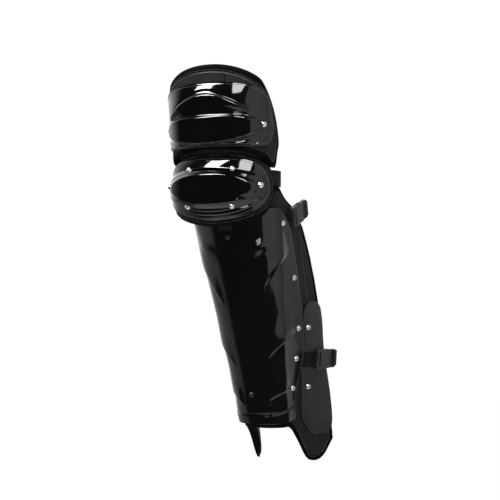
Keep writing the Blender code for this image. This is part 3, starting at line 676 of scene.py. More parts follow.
def buildThigh():
    look = thighLooks

    def base(along, z):
        return thighPoint(along, z, 0.0)

    def distance(along, z):
        rest = clamp(1 - (1 - (z - thighBottom) / thigh["height"]) / thigh["crestFall"])
        return thighDistance(along, z, thighSpread, rest, thigh["crestPower"], thighFoot, thighCrest)

    def face(along, z):
        share = clamp(along / thighSpread, -0.999, 0.999)
        up = (z - thighBottom) / thigh["height"]
        return raised(base, along, z, thighRelief(share, up, distance(along, z), thighCrest(abs(share)) - z))

    def plate(across, up):
        share = sineShare(across, 0.995)
        z = mix(thighFoot(abs(share)), thighCrest(abs(share)), denseEnds(up, 0.3))
        along = share * thighSpread
        return face(along, z), along, z, distance(along, z)

    shell = bentSheet("thighShell", look["columns"], look["rows"], plate, walls["plate"], ("glossShell",),
                      rim=0.0013)
    handOver(shell, ("thigh_plate",))
    seat = walls["plate"] + walls["padGap"]
    spread = thighSpread + thigh["sideMargin"]

    def padFace(along, z):
        return thighPoint(along, z, seat)

    def pad(across, up):
        share = sineShare(across, 0.992)
        z = mix(thighHem(abs(share)), thighArch(abs(share)), denseEnds(up, 0.5))
        along = share * spread
        level = clamp((z - thighBottom) / (thigh["height"] + thigh["topMargin"]), 0.0, 0.9995)
        far = thighDistance(along, z, spread, level, thigh["archPower"], thighHem, thighArch)
        return thighPoint(along, z, seat + padDip(far, look)), along, z, far

    def back(entry):
        _, along, z, far = entry
        return raised(padFace, along, z, -thigh["foam"] * padThickness(far, look["binding"]))

    liner = bentSheet("thighLiner", 140, 84, pad, thigh["foam"], linerFinishes, rim=0.0012, inner=back,
                      bandWidth=look["binding"])
    handOver(liner, ("thigh_pad",))

    edge = outline(thighHem, thighArch, spread)
    arch = [spot for spot in offsetIn(edge, look["pipingIn"]) if spot.y > thighBottom + look["pipingClear"]]
    cordLine("thighPiping", resample(arch, 0.003, closed=False), padFace, look["pipingRadius"])
    stitchRow("thighBindingStitches", stitchLine(edge, look["binding"] - 0.0018), padFace, 0.0004)
    rim = outline(thighFoot, thighCrest, thighSpread)
    line = [spot for spot in stitchLine(rim, look["stitchIn"]) if abs(spot.x) < 0.98 * thighSpread]
    stitchRow("thighShellStitches", line, face, 0.0002)

    def tab(across, up):
        along = across * thigh["tabHalf"]
        z = thighCrest(abs(along) / thighSpread) + walls["seat"] * 2 + thigh["tabHeight"] * up
        point = thighPoint(along, z, seat - walls["padGap"] - thigh["tabWall"])
        return point, along, z, min((1 - abs(across)) * thigh["tabHalf"], up * thigh["tabHeight"])

    piece = bentSheet("thighTopTab", 60, 14, tab, thigh["tabWall"], ("webbing",), rim=0.0004)
    handOver(piece, ("thigh_top_tab",))


foam = {"channel": 0.0010, "channelHalf": 0.0016, "rimShare": 0.34, "fullAt": 0.011, "pinch": 0.16,
        "pinchIn": 0.002, "pinchHalf": 0.0024}


def padDip(far, look):
    # The rim rolls away, and a shallow channel runs inside the binding
    roll = look["foamRound"] * (1 - math.sqrt(1 - clamp(1 - far / look["foamRound"]) ** 2))
    return roll + foam["channel"] * math.exp(-((far - look["binding"]) / foam["channelHalf"]) ** 2)


def padThickness(far, binding):
    # Thin at the rim, where the binding holds the foam down, and full inside
    rim = mix(foam["rimShare"], 1.0, smooth(far / foam["fullAt"]))
    return rim * (1 - foam["pinch"] * math.exp(-((far - binding - foam["pinchIn"]) / foam["pinchHalf"]) ** 2))


# Knee section
kneeLooks = {
    "columns": 200, "rows": 170, "broad": 0.0060, "groove": 0.0005, "ease": 0.004,
    "domeRise": 0.0028, "domeLift": (0.0008, 0.0030), "domeMiddle": 0.008, "domeHeight": 0.232, "domeHalf": 0.80,
    "domeFoot": 1.02, "domeStart": 0.36,
    "stepDepth": 0.0010, "steps": (0.0190, 0.0135, 0.0075), "stitchIn": 0.0032, "binding": 0.0090, "foamRound": 0.0036,
}


def kneeRelief(share, z, rimDistance):
    look = kneeLooks
    up = (z - knee["middle"]) / knee["height"]
    oval = math.hypot(share / look["domeHalf"], (up - look["domeMiddle"]) / look["domeHeight"])
    rise = look["broad"] * smooth((1.42 - oval) / 0.42)
    inside, dome = domeForm(look, share, oval)
    rise += dome
    below = smooth((-up - 0.06) / 0.12)
    stairs = sum(look["stepDepth"] * smooth((rimDistance - step) / 0.0018) for step in look["steps"])
    rise += stairs * below * (1 - inside)
    return rise * smooth(rimDistance / look["ease"])


def kneeDistance(along, z, spread, margin, powers):
    # How far a spot lies inside the oval of the shell or the liner
    off = abs(z - knee["middle"])
    power = powers[z > knee["middle"]]
    gap = kneeOval(min(abs(along) / spread, 0.9995), margin, power) - off
    level = min(off / (knee["height"] / 2 + margin), 0.9995)
    width = spread * max(0.0, 1 - level ** power) ** (1 / power)
    return max(0.0, softLeast((gap, width - abs(along)), 0.003))


def buildKnee():
    look = kneeLooks

    def halfHeight(share, upper):
        return kneeOval(share, 0.0, knee["powers"][upper])

    def distance(along, z):
        return kneeDistance(along, z, kneeSpread, 0.0, knee["powers"])

    def base(along, z):
        return kneePoint(along, z, 0.0)

    def face(along, z):
        share = clamp(along / kneeSpread, -0.999, 0.999)
        return raised(base, along, z, kneeRelief(share, z, distance(along, z)))

    def plate(across, up):
        share = sineShare(across, 0.996)
        level = 2 * denseEnds(up, 0.3) - 1
        z = knee["middle"] + halfHeight(abs(share), level > 0) * level
        along = share * kneeSpread
        return face(along, z), along, z, distance(along, z)

    shell = bentSheet("kneeShell", look["columns"], look["rows"], plate, walls["plate"], ("glossShell",),
                      rim=0.0013)
    handOver(shell, ("knee_cap",))
    seat = walls["plate"] + walls["padGap"]
    spread = kneeSpread + knee["sideMargin"]

    def padHalf(share, upper):
        return kneeOval(share, knee["margin"], knee["padPowers"][upper])

    def padFace(along, z):
        return kneePoint(along, z, seat)

    def pad(across, up):
        share = sineShare(across, 0.994)
        level = 2 * denseEnds(up, 0.5) - 1
        z = knee["middle"] + padHalf(abs(share), level > 0) * level
        along = share * spread
        far = kneeDistance(along, z, spread, knee["margin"], knee["padPowers"])
        return kneePoint(along, z, seat + padDip(far, look)), along, z, far

    def back(entry):
        _, along, z, far = entry
        side = mix(1.0, knee["edgeFoam"] / knee["foam"], smooth((abs(along) / spread - 0.55) / 0.35))
        return raised(padFace, along, z, -knee["foam"] * padThickness(far, look["binding"]) * side)

    liner = bentSheet("kneeLiner", 140, 84, pad, knee["foam"], linerFinishes, rim=0.0011, inner=back,
                      bandWidth=look["binding"])
    handOver(liner, ("knee_pad",))

    edge = outline(lambda share: knee["middle"] - padHalf(share, False),
                   lambda share: knee["middle"] + padHalf(share, True), spread)
    stitchRow("kneeBindingStitches", stitchLine(edge, look["binding"] - 0.0030), padFace, 0.0002)
    rim = outline(lambda share: knee["middle"] - halfHeight(share, False),
                  lambda share: knee["middle"] + halfHeight(share, True), kneeSpread)
    stitchRow("kneeShellStitches", stitchLine(rim, look["stitchIn"]), face, 0.0002)


# Shin section
shinLooks = {
    "columns": 150, "rows": 170, "lip": 0.0150, "lipRise": 0.0012, "lipRear": 0.024, "lipGroove": 0.0006,
    "humpAlong": 0.050, "humpHeight": 0.124, "humpRise": 0.0022, "humpTilt": 0.55, "humpSize": (0.015, 0.0095),
    "flare": 0.0034, "flareTop": -0.104, "binding": 0.0085, "foamRound": 0.0024,
    "stepFoot": 0.0016, "stepRun": 0.0040, "stepTop": 0.002, "stepFade": 0.052,
    "channels": (0.030, 0.088), "rungs": (-0.120, -0.050, 0.020, 0.090, 0.150), "channelHalf": 0.0035,
}


def chevronFall(share):
    return (1 - share) ** 2.2


def shinRelief(share, along, z):
    look = shinLooks
    depth = 0.0
    for level, drop in shin["chevrons"]:
        above = z - shin["bottom"] - shin["height"] * (level - drop * chevronFall(share))
        rise = smooth((above + look["stepFoot"]) / look["stepRun"])
        depth = max(depth, rise * (1 - smooth((above - look["stepTop"]) / look["stepFade"])))
    fade = smooth((share - (0.30 if along > 0 else 0.18)) / 0.16) * smooth((0.86 - share) / 0.22)
    rise = shin["step"] * depth * fade
    lip = shin["bottom"] + mix(look["lip"], look["lipRear"], share ** 2) + shin["rearLift"] * share ** 3
    rise += look["lipRise"] * smooth((lip - z) / 0.0022)
    rise -= look["lipGroove"] * math.exp(-((z - lip - 0.0012) / 0.0014) ** 2)
    rise += look["flare"] * smooth((look["flareTop"] - z) / 0.045)
    beyond = abs(along) - look["humpAlong"]
    x = beyond / look["humpSize"][0]
    y = (z - look["humpHeight"] - look["humpTilt"] * beyond) / look["humpSize"][1]
    rise += look["humpRise"] * math.exp(-(x * x + y * y))
    return rise


def buildShin():
    look = shinLooks
    drops = [(0.0, 0.0)] + list(reversed(shin["chevrons"])) + [(0.92, 0.0)]

    def base(along, z):
        return shinPoint(along, z, 0.0)

    def plate(across, up):
        side = math.copysign(1.0, across)
        share = abs(across)
        level = up - fromTable(drops, up) * chevronFall(share)
        corner = smooth((share - 0.80) / 0.20) * smooth((up - 0.80) / 0.20)
        lift = shin["rearLift"] * share ** 3 * (1 - up)
        z = shin["bottom"] + shin["height"] * (level - 0.06 * corner) + lift
        half = shinAlong(shinReach(z), z, 0.0)
        along = share * half * side
        point = raised(base, along, z, shinRelief(share, along, z))
        return point, along, z, min((1 - share) * half, up * shin["height"], (1 - up) * shin["height"])

    shell = bentSheet("shinShell", look["columns"], look["rows"], plate, walls["plate"], ("glossShell",))
    handOver(shell, ("shin_plate",))
    seat = walls["plate"] + wing["gap"]

    def limits(share, side):
        hem = softTable(wing["hem"], share if side > 0 else share ** wing["farHem"], 0.05)
        return linerBottom - wing["drop"] * hem, wing["top"] - wing["crestFall"] * softTable(wing["crest"], share, 0.03)

    def liner(across, up):
        side = 1 if across > 0 else -1
        share = abs(across)
        low, high = limits(share, side)
        z = mix(low, high, denseEnds(up, 0.45))
        half = shinAlong(wingReach(z), z, seat)
        along = half * share * side
        far = max(0.0, softLeast(((1 - share) * half + 0.0003, z - low, high - z), 0.002))
        return shinPoint(along, z, seat + padDip(far, look)), along, z, far

    def padFace(along, z):
        return shinPoint(along, z, seat)

    def back(entry):
        _, along, z, far = entry
        share = abs(along) / shinAlong(wingReach(z), z, seat)
        full = mix(1.0, wing["thinFoam"] / wing["foam"], smooth((share - 0.40) / 0.25))
        offs = [abs(along) - channel for channel in look["channels"]] + [z - rung for rung in look["rungs"]]
        sewn = max(math.exp(-(off / look["channelHalf"]) ** 2) for off in offs)
        rim = mix(0.42, 1.0, smooth(far / 0.008))
        return raised(padFace, along, z, -wing["foam"] * full * rim * (1 - 0.30 * sewn))

    piece = bentSheet("shinLiner", 150, 170, liner, wing["foam"], linerFinishes, rim=0.0009, inner=back,
                      bandWidth=look["binding"])
    handOver(piece, ("shin_pad",))
    for side, tag in ((1, "Right"), (-1, "Left")):
        line = []
        for share in spaced(0.47, 1.0, 90):
            low = limits(share, side)[0]
            line.append(Vector((shinAlong(wingReach(low), low, seat) * share * side, low)))
        for share in reversed(spaced(0.66, 0.995, 60)):
            high = limits(share, side)[1]
            line.append(Vector((shinAlong(wingReach(high), high, seat) * share * side, high)))
        if side < 0:
            line.reverse()
        line = resample(line, 0.004, closed=False)
        moved = offsetOpen(line, look["binding"] - 0.0022)
        stitchRow("wingStitches" + tag, resample(moved, stitches["pitch"], closed=False),
                  padFace, 0.0002)


def offsetOpen(points, distance):
    # An open line moved to its left by a distance
    out = []
    for index, point in enumerate(points):
        run = points[min(index + 1, len(points) - 1)] - points[max(index - 1, 0)]
        left = Vector((-run.y, run.x)).normalized()
        out.append(point + left * distance)
    return out


# Side plates
anklePlate = {
    "top": 0.035, "height": 0.223, "margin": 0.0030, "frontLow": 0.064, "frontTop": 0.083, "seat": 0.0011,
    "wall": 0.0025, "dome": 0.0010,
    "shape": ((0.00, 0.42, 0.72), (0.02, 0.30, 0.85), (0.05, 0.20, 0.95), (0.11, 0.07, 1.00),
              (0.20, 0.00, 1.00), (0.80, 0.00, 1.00), (0.90, 0.03, 1.00), (0.96, 0.18, 0.98),
              (0.99, 0.34, 0.88), (1.00, 0.45, 0.80)),
}
linerFace = walls["plate"] + wing["gap"]
sidePlateFace = linerFace - anklePlate["seat"] - anklePlate["wall"]


def buildAnklePlates():
    low = anklePlate["top"] - anklePlate["height"]
    heights = [row[0] for row in anklePlate["shape"]]
    fronts = [row[1] for row in anklePlate["shape"]]
    rears = [row[2] for row in anklePlate["shape"]]

    def place(side, across, up):
        level = denseEnds(up, 0.7)
        z = mix(low, anklePlate["top"], level)
        front = max(shinReach(z) + anklePlate["margin"], mix(anklePlate["frontLow"], anklePlate["frontTop"], level))
        rear = wingReach(z)
        first = mix(front, rear, float(np.interp(level, heights, fronts)))
        last = mix(front, rear, float(np.interp(level, heights, rears)))
        share = (across * side + 1) / 2
        reach = mix(first, last, share)
        far = max(0.0, softLeast(((reach - first) + 0.0002, (last - reach) + 0.0002, z - low + 0.001,
                                  anklePlate["top"] - z + 0.001), 0.0025))
        inset = sidePlateFace - anklePlate["dome"] * smooth(far / 0.012)
        along = side * shinAlong(reach, z, inset)
        return shinPoint(along, z, inset), along, z, far

    for side, tag in ((1, "Right"), (-1, "Left")):
        piece = bentSheet("anklePlate" + tag, 40, 120, lambda across, up: place(side, across, up),
                          anklePlate["wall"], ("sidePlate",), rim=0.0008)
        handOver(piece, ("ankle_plate_" + tag.lower(),))


# Webbing, straps and buckles
buckle = {
    "socket": 0.030, "plug": 0.014, "height": 0.032, "thick": 0.010, "seat": 0.0010, "edge": 0.0012,
    "window": 0.011, "windowShift": 0.0036, "windowDepth": 0.0042,
}
closures = {
    "calf": {"height": 0.169, "farHeight": 0.142, "rise": 0.42, "tab": 0.0045, "bow": 0.022, "face": linerFace},
    "ankle": {"height": -0.060, "farHeight": -0.060, "rise": 0.0, "tab": 0.022, "bow": 0.024,
              "face": sidePlateFace},
}
strapSizes = {"width": 0.025, "hold": 0.026, "ease": 0.020, "linkSpread": 0.042, "hinge": 0.060,
              "hingeClear": 0.005, "kneeHeight": 0.2325, "kneeBow": 0.058}


def wingFrame(side, depth, z, inset, rise):
    step = 0.002

    def at(back, up):
        height = z + up
        return shinPoint(side * shinAlong(depth + back - shinFront(height), height, inset), height, inset)

    middle = at(0.0, 0.0)
    back = (at(step, 0.0) - at(-step, 0.0)).normalized()
    up = (at(0.0, step) - at(0.0, -step)).normalized()
    normal = (back.cross(up) * side).normalized()
    travel = (back + up * rise).normalized()
    width = (normal.cross(travel) * side).normalized()
    return middle, travel, width, normal


def slab(name, size, corner, place=(0, 0, 0), segments=3):
    # A box with all its edges rounded, at a place of its own frame
    piece = addShape(name, "cube", size=1.0)
    for vertex in piece.data.vertices:
        vertex.co *= Vector(size)
    soften(piece, corner, segments)
    for vertex in piece.data.vertices:
        vertex.co += Vector(place)
    return piece


def cutAway(piece, size, place, corner=0.0006):
    # A pocket or slot is cut from a moulded piece
    tool = slab("pocket", size, corner, place, 2)
    cut = piece.modifiers.new("pocket", "BOOLEAN")
    cut.operation = "DIFFERENCE"
    cut.solver = "EXACT"
    cut.object = tool
    applyAll(piece)
    bpy.data.objects.remove(tool, do_unlink=True)


def joinPieces(pieces, name):
    choose(*pieces)
    bpy.ops.object.join()
    joined = bpy.context.object
    joined.name = name
    joined.data.name = name
    return joined


def setDown(piece, matrix, finishName):
    piece.data.transform(matrix)
    piece.data.materials.clear()
    piece.data.materials.append(finishes[finishName])
    choose(piece)
    bpy.ops.object.shade_smooth_by_angle(angle=math.radians(35))
    return piece


def buildBuckle(tag, matrix, plugMatrix):
    length, height, thick, window = [buckle[key] for key in ("socket", "height", "thick", "window")]
    body = slab(tag + "Socket", (length, height, thick), 0.0022)
    for side in (1, -1):
        cutAway(body, (window, buckle["windowDepth"] * 2, thick * 0.62),
                (buckle["windowShift"], side * height / 2, 0.0), 0.0010)
    cutAway(body, (0.0034, height - 0.007, thick * 3), (-length / 2 + 0.0045, 0, 0), 0.0008)
    for groove in (-length / 2 + 0.0105, length / 2 - 0.0035):
        cutAway(body, (0.0012, height - 0.010, 0.0008), (groove, 0, thick / 2))
    setDown(body, matrix, "buckleGrey")
    handOver(body, (tag + "_buckle_socket",))
    prongs = [slab("prong", (window - 0.0016, 0.0032, thick * 0.42), 0.0010,
                   (buckle["windowShift"], side * (height / 2 - 0.0027), 0.0)) for side in (1, -1)]
    pair = joinPieces(prongs, tag + "Prongs")
    setDown(pair, matrix, "buckleBlack")
    handOver(pair)
    plugThick = thick - buckle["edge"]
    plug = slab(tag + "Plug", (buckle["plug"], height - buckle["edge"], plugThick), 0.0026)
    cutAway(plug, (0.0032, height - 0.008, thick * 3), (-0.0010, 0, 0), 0.0008)
    for rib in (0.0030, 0.0050):
        cutAway(plug, (0.0007, height - 0.008, 0.0008), (rib, 0, plugThick / 2), 0.0003)
    setDown(plug, plugMatrix, "buckleBlack")
    handOver(plug, (tag + "_buckle_plug",))


def frameMatrix(middle, travel, width):
    turn = Matrix((travel, width, travel.cross(width))).transposed().to_4x4()
    return Matrix.Translation(middle) @ turn


def buildClosure(tag):
    sizes = closures[tag]
    height = sizes["height"]
    rise = sizes["rise"]
    slope = math.hypot(1.0, rise)
    corner = strapSizes["width"] / 2 / slope
    start = anklePlate["margin"] + max(
        shinFront(height - corner * side) + shinReach(height - corner * side) - corner * rise * side
        for side in (-1, 0, 1))

    def near(run, lift):
        return wingFrame(1, start + run / slope, height + rise * run / slope, sizes["face"] - lift, rise)

    flatLift = walls["seat"] * 2 + walls["webbing"] / 2
    tabLift = buckle["seat"] + walls["webbing"]
    spots = [near((sizes["tab"] - walls["seat"]) * share, mix(flatLift, tabLift, smooth(2 * share)))
             for share in spaced(0, 1, 6)]
    tab = ribbon(tag + "Webbing", [spot[0] for spot in spots], [spot[2] for spot in spots], walls["webbing"],
                 "webbing")
    handOver(tab, (tag + "_webbing",))
    middleLift = buckle["seat"] + buckle["thick"] / 2
    middle, travel, width, normal = near(sizes["tab"] + walls["seat"] + buckle["socket"] / 2, middleLift)
    plugMiddle = middle + travel * (buckle["socket"] / 2 + walls["seat"] + buckle["plug"] / 2)
    buildBuckle(tag, frameMatrix(middle, travel, width), frameMatrix(plugMiddle, travel, width))
    rear = shinFront(sizes["farHeight"]) + wingReach(sizes["farHeight"])

    def far(run):
        lift = mix(middleLift, flatLift + walls["seat"], smooth(run / strapSizes["ease"]))
        return wingFrame(-1, rear + strapSizes["ease"] - run, sizes["farHeight"], sizes["face"] - lift, 0.0)

    end = plugMiddle + travel * (buckle["plug"] / 2 + walls["seat"] + walls["strap"] / 4)
    farEnd = far(0.0)[0]
    points = []
    edges = []
    for turn in spaced(0, math.pi, 20):
        side = math.copysign(abs(math.cos(turn)) ** 0.667, math.cos(turn))
        share = (1 - side) / 2
        fall = smooth(2 * share)
        loop = Vector((mix(end.x, farEnd.x, share), mix(end.y, farEnd.y, share), mix(end.z, farEnd.z, fall)))
        points.append(loop + Vector((0, sizes["bow"] * math.sin(turn) ** 0.667, 0)))
        edges.append(width.lerp(Vector((0, 0, 1)), fall))
    for run in spaced(0, strapSizes["ease"] + strapSizes["hold"], 8)[1:]:
        place, _, across, _ = far(run)
        points.append(place)
        edges.append(across)
    strap = ribbon(tag + "Strap", points, edges, walls["strap"], "elastic")
    handOver(strap, (tag + "_strap",))


def buildLinks():
    middle = walls["plate"] - walls["webbing"] / 2
    padMiddle = walls["plate"] + walls["padGap"] + thigh["foam"] / 2
    for side, tag in ((1, "Right"), (-1, "Left")):

        def link(across, up):
            along = side * strapSizes["linkSpread"] + strapSizes["width"] / 2 * across
            low = knee["middle"] + kneeOval(abs(along) / kneeSpread, 0.0, knee["powers"][1]) + walls["seat"] * 2
            high = thighHem(abs(along) / (thighSpread + thigh["sideMargin"])) + 0.0045
            z = mix(low, high, up)
            turn = smooth((up - 0.55) / 0.45)
            point = kneePoint(along, z, middle).lerp(thighPoint(along, z, padMiddle), turn)
            return point, along, z, (1 - abs(across)) * strapSizes["width"] / 2

        piece = bentSheet("linkWebbing" + tag, 16, 18, link, walls["webbing"], ("webbing",), rim=0.0005, offset=0.0)
        handOver(piece, ("thigh_knee_webbing_" + tag.lower(),))
    lift = walls["webbing"] / 2 + walls["seat"] * 2
    behind = walls["plate"] + walls["padGap"] + knee["foam"] + lift
    base = shin["bottom"] + shin["height"] * 0.895
    points = [Vector((0, shinFront(z) - lift, z)) for z in (base, base + 0.005)]
    for rise, clear in ((0.16, 1.0), (0.30, 0.6), (0.50, 0.08)):
        z = knee["middle"] - knee["height"] / 2 + strapSizes["hinge"] * rise
        points.append(kneePoint(0.0, z, behind + strapSizes["hingeClear"] * clear))
    piece = ribbon("hingeWebbing", points, [Vector((1, 0, 0))] * len(points), walls["webbing"], "webbing")
    handOver(piece, ("knee_shin_webbing",))


hingeCloth = {"half": 0.104, "height": 0.022, "low": 0.010, "high": 0.012, "lowIn": 0.0125, "highIn": 0.0130,
              "pucker": 0.0006, "wall": 0.0016}


def buildHingeCloth():
    # A puckered strip of cloth behind the gap between the thigh and knee liners
    def place(across, up):
        along = across * hingeCloth["half"]
        low = kneePoint(along, kneeTopAt(along) - hingeCloth["low"], hingeCloth["lowIn"])
        high = thighPoint(along, kneeTopAt(along) + hingeCloth["high"], hingeCloth["highIn"])
        pucker = hingeCloth["pucker"] * math.sin(along * 900) * math.sin(math.pi * up)
        return low.lerp(high, up) + Vector((0, pucker, 0)), along, up * hingeCloth["height"], 0.01

    piece = bentSheet("hingeCloth", 160, 10, place, hingeCloth["wall"], ("innerCloth",), rim=0, offset=0.0)
    handOver(piece)


def buildKneeStrap():
    inset = walls["plate"] + walls["padGap"] + knee["edgeFoam"] + walls["seat"] * 2 + walls["strap"] / 2
    spread = kneeSpread + knee["sideMargin"]
    z = strapSizes["kneeHeight"]
    near = [kneePoint(spread - run, z, inset) for run in (0.018, 0.012, 0.006)]
    end = kneePoint(spread, z, inset)
    points = list(near)
    for turn in spaced(0, math.pi, 20):
        side = math.copysign(abs(math.cos(turn)) ** 0.75, math.cos(turn))
        points.append(Vector((end.x * side, end.y + strapSizes["kneeBow"] * math.sin(turn) ** 0.75, z)))
    points += [Vector((-place.x, place.y, place.z)) for place in reversed(near)]
    strap = ribbon("kneeStrap", points, [Vector((0, 0, 1))] * len(points), walls["strap"], "elastic")
    handOver(strap, ("knee_strap",))


# Rivets
rivet = {"segments": 28, "rings": 14, "flange": 0.10, "flat": 0.82, "thighLift": 0.005}


def setOnShell(seat, axis):
    # The nearest finished shell under a rivet, and the way that it faces there
    seat = Vector(seat.tolist())
    axis = Vector(axis.tolist())
    best = None
    for name in ("thighShell", "kneeShell", "shinShell", "anklePlateRight", "anklePlateLeft"):
        hit, place, normal, _ = bpy.data.objects[name].ray_cast(seat + axis * 0.012, -axis, distance=0.024)
        if hit and normal.dot(axis) > 0.5 and (best is None or (place - seat).length < (best[0] - seat).length):
            best = (place, normal)
    if best is None:
        return seat, axis
    return best[0], (axis + best[1]).normalized()


def buildRivets():
    # One turned head, set down on the seat of each rivet's solid
    for node, thing in sorted(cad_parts.items()):
        if "rivet" not in node:
            continue
        corners = np.unique(np.round(np.array([v.co for v in thing.data.vertices]), 7), axis=0)
        middle = corners.mean(axis=0)
        axis = np.linalg.svd(corners - middle)[2][2]
        heights = (corners - middle) @ axis
        span = heights.max() - heights.min()
        if (heights > heights.max() - span * 0.1).sum() > (heights < heights.min() + span * 0.1).sum():
            axis = -axis
            heights = -heights
        seat = corners[heights < heights.min() + span * 0.1].mean(axis=0)
        radius = np.linalg.norm(corners - seat, axis=1).max()
        if node.startswith("thigh"):
            seat[2] += rivet["thighLift"]
        seat, axis = setOnShell(seat, axis)
        piece = addShape("head_" + node, "uv_sphere", segments=rivet["segments"], ring_count=rivet["rings"],
                         radius=1.0)
        for vertex in piece.data.vertices:
            level = max(vertex.co.z, 0.0)
            around = math.hypot(vertex.co.x, vertex.co.y)
            spread = 1.0
            if vertex.co.z < 0.12:
                spread = 1.0 + rivet["flange"] * (1 if vertex.co.z > -0.3 else 0.5)
            place = Vector((vertex.co.x * spread * radius, vertex.co.y * spread * radius,
                            level ** rivet["flat"] * span + 0.00035 * (1 - around ** 4)))
            if vertex.co.z < -0.05:
                place.z = -0.0002
            vertex.co = place
        turn = Vector((0, 0, 1)).rotation_difference(axis).to_matrix().to_4x4()
        black = node.startswith("front")
        setDown(piece, Matrix.Translation(seat) @ turn, "blackRivet" if black else "nickel")
        handOver(piece, (node,))


buildThigh()
print("thigh section made")
buildKnee()
print("knee section made")
buildShin()
buildAnklePlates()
print("shin section made")
for tag in closures:
    buildClosure(tag)
buildLinks()
buildHingeCloth()
buildKneeStrap()
print("webbing, straps and buckles made")
buildRivets()
print("rivets made")

# Studio
studio = {
    "azimuth": 30, "distance": 2.4, "aim": (0.015, -0.015, 0.120), "lens": 108, "floor": -0.262,
    "panel": 0.60, "low": 0.75, "dark": 0.026, "white": 1.02, "tint": (0.96, 0.98, 1.0, 1),
    "rightEdge": (128, 134), "leftEdge": (54, 64), "broadEdge": (60, 108),      # degrees round from the front
    "leftFade": (-38, 14), "broadFade": (-16, -5), "floorEdge": (42, 50),       # degrees up, and down for the floor
}


def direction(azimuth, elevation):
    a = math.radians(azimuth)
    e = math.radians(elevation)
    return Vector((math.sin(a) * math.cos(e), -math.cos(a) * math.cos(e), math.sin(e)))


def makeCamera():
    data = bpy.data.cameras.new("camera")
    data.lens = studio["lens"]
    data.sensor_width = 36
    camera = addObject("camera", data)
    camera.location = Vector(studio["aim"]) + direction(studio["azimuth"], 0) * studio["distance"]
    camera.rotation_euler = (math.radians(90), 0, math.radians(studio["azimuth"]))
    bpy.context.scene.camera = camera


softboxes = (
    {"name": "keyBox", "azimuth": -35, "elevation": 42, "width": 15, "height": 42, "glow": 27.0, "reach": 1.7},
    {"name": "fillBox", "azimuth": 15.5, "elevation": 40, "width": 22, "height": 38, "glow": 11.0, "reach": 1.7},
    {"name": "lowCard", "azimuth": 14, "elevation": -18, "width": 16, "height": 7, "glow": 4.5, "reach": 1.4},
)


def addLight(name, size, energy, aim, way, distance):
    # An area light that faces the guard and that the camera doesn't see
    data = bpy.data.lights.new(name, "AREA")
    data.shape = "RECTANGLE"
    data.size, data.size_y = size
    data.energy = energy
    light = addObject(name, data)
    light.location = Vector(aim) + way * distance
    light.rotation_euler = way.to_track_quat("Z", "Y").to_euler()
    light.visible_camera = False
    return light


def makeSoftbox(box):
    # A softbox given by the angles that it covers, as seen from the guard. Only gloss surfaces show it
    distance = box["reach"]
    size = [2 * distance * math.tan(math.radians(box[key] / 2)) for key in ("width", "height")]
    aim = (0, -0.08, 0.12 if box["elevation"] < 0 else 0.25)
    light = addLight(box["name"], size, box["glow"] * math.pi * size[0] * size[1], aim,
                     direction(box["azimuth"], box["elevation"]), distance)
    light.visible_diffuse = False


def makeWorld():
    # White to the camera. Round the guard, dim panels to the left and behind, a dim floor, and dark in front
    world = bpy.data.worlds.new("studio")
    bpy.context.scene.world = world
    world.use_nodes = True
    tree = world.node_tree
    tree.nodes.clear()
    parts = addNode(tree, "SeparateXYZ", {0: addNode(tree, "TexCoord").outputs["Generated"]}).outputs

    def negative(value):
        return mathNode(tree, "MULTIPLY", value, -1.0)

    angle = mathNode(tree, "ARCTAN2", parts["X"], negative(parts["Y"]))

    def beyond(value, start, end):
        return ramp(tree, value, math.radians(start), math.radians(end))

    def above(value, start, end):
        return ramp(tree, value, math.sin(math.radians(start)), math.sin(math.radians(end)))

    right = mathNode(tree, "MULTIPLY", beyond(angle, *studio["rightEdge"]), 0.8)
    shade = mathNode(tree, "ADD", mathNode(tree, "MULTIPLY", above(parts["Z"], *studio["leftFade"]), 1.35), 0.30)
    narrow = mathNode(tree, "MULTIPLY", beyond(negative(angle), *studio["leftEdge"]), shade)
    broad = mathNode(tree, "MULTIPLY", beyond(negative(angle), *studio["broadEdge"]), 2.2)
    left = blend(tree, above(parts["Z"], *studio["broadFade"]), narrow, broad, "FLOAT")
    panel = mathNode(tree, "MULTIPLY", mathNode(tree, "MAXIMUM", right, left), studio["panel"])
    low = mathNode(tree, "MULTIPLY", above(negative(parts["Z"]), *studio["floorEdge"]), studio["low"])
    glow = mathNode(tree, "ADD", mathNode(tree, "MAXIMUM", panel, low), studio["dark"])
    lit = addNode(tree, "Background", {"Color": studio["tint"], "Strength": glow})
    white = addNode(tree, "Background", {"Color": (1, 1, 1, 1), "Strength": studio["white"]})
    seen = addNode(tree, "LightPath").outputs["Is Camera Ray"]
    pick = addNode(tree, "MixShader", {0: seen, 1: lit.outputs[0], 2: white.outputs[0]})
    addNode(tree, "OutputWorld", {"Surface": pick.outputs[0]})


def stageFinish(name):
    material = bpy.data.materials.new(name)
    material.use_nodes = True
    return material, material.node_tree


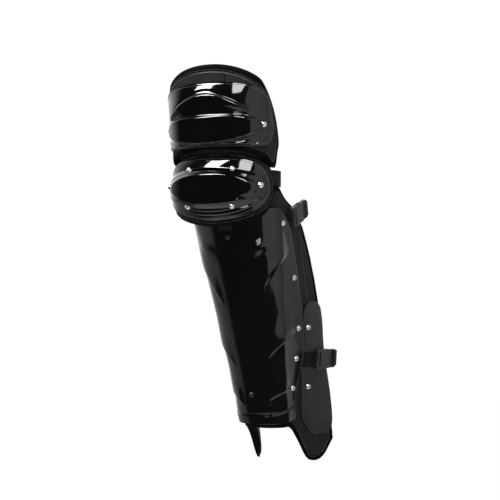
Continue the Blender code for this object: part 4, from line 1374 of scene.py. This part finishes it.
def makeSideWall():
    # A dim wall to the right, with its lower edge near the floor and rising away from the front
    corners = ((-1.6, -0.22), (-0.2, -0.27), (0.25, -0.36), (0.72, -0.55), (0.98, -0.75), (0.96, 0.10), (0.80, 0.45),
               (0.80, 1.50), (-1.6, 1.50))
    out = direction(85, 0) * 0.70
    along = direction(-5, 0)
    mesh = bpy.data.meshes.new("sideWall")
    places = [out + along * across + Vector((0, 0, height)) for across, height in corners]
    mesh.from_pydata(places, [], [tuple(range(len(corners)))])
    wall = addObject("sideWall", mesh)
    material, tree = stageFinish("dimWall")
    parts = addNode(tree, "SeparateXYZ", {0: addNode(tree, "TexCoord").outputs["Object"]}).outputs
    front = ramp(tree, mathNode(tree, "MULTIPLY", parts["Y"], -1.0), -0.6, 0.35)
    lift = mathNode(tree, "ADD", mathNode(tree, "MULTIPLY", front, 0.60), 0.50)
    glow = addNode(tree, "Emission", {"Color": studio["tint"],
                                      "Strength": mathNode(tree, "MULTIPLY", lift, studio["panel"])})
    setInputs(tree, tree.nodes["Material Output"], {"Surface": glow.outputs[0]})
    mesh.materials.append(material)
    wall.visible_camera = False
    wall.visible_shadow = False


def makeFloor():
    floor = addShape("floor", "circle", vertices=96, radius=1.6, fill_type="NGON")
    for vertex in floor.data.vertices:
        vertex.co.z = studio["floor"]
    material, tree = stageFinish("paleFloor")
    shader = tree.nodes["Principled BSDF"]
    setInputs(tree, shader, {"Base Color": (0.85, 0.85, 0.86, 1), "Roughness": 0.9})
    glow = addNode(tree, "Emission", {"Strength": studio["white"]})
    seen = addNode(tree, "LightPath").outputs["Is Camera Ray"]
    pick = addNode(tree, "MixShader", {0: mathNode(tree, "MULTIPLY", seen, 0.97), 1: shader.outputs[0],
                                       2: glow.outputs[0]})
    setInputs(tree, tree.nodes["Material Output"], {"Surface": pick.outputs[0]})
    floor.data.materials.append(material)
    floor.visible_glossy = False


clothLights = (
    {"name": "sideFill", "azimuth": 58, "elevation": 14, "size": 1.6, "power": 14},
    {"name": "rearFill", "azimuth": 205, "elevation": 28, "size": 1.8, "power": 42},
    {"name": "farFill", "azimuth": 285, "elevation": 22, "size": 1.4, "power": 12},
)


def makeClothLight(fill):
    # A broad soft light for the cloth, which the gloss shells don't mirror
    light = addLight(fill["name"], (fill["size"], fill["size"]), fill["power"], (0, 0, 0.1),
                     direction(fill["azimuth"], fill["elevation"]), 2.2)
    light.visible_glossy = False


makeCamera()
for box in softboxes:
    makeSoftbox(box)
makeWorld()
makeSideWall()
for fill in clothLights:
    makeClothLight(fill)
makeFloor()
bpy.context.scene.view_settings.view_transform = "Standard"
print("studio made")
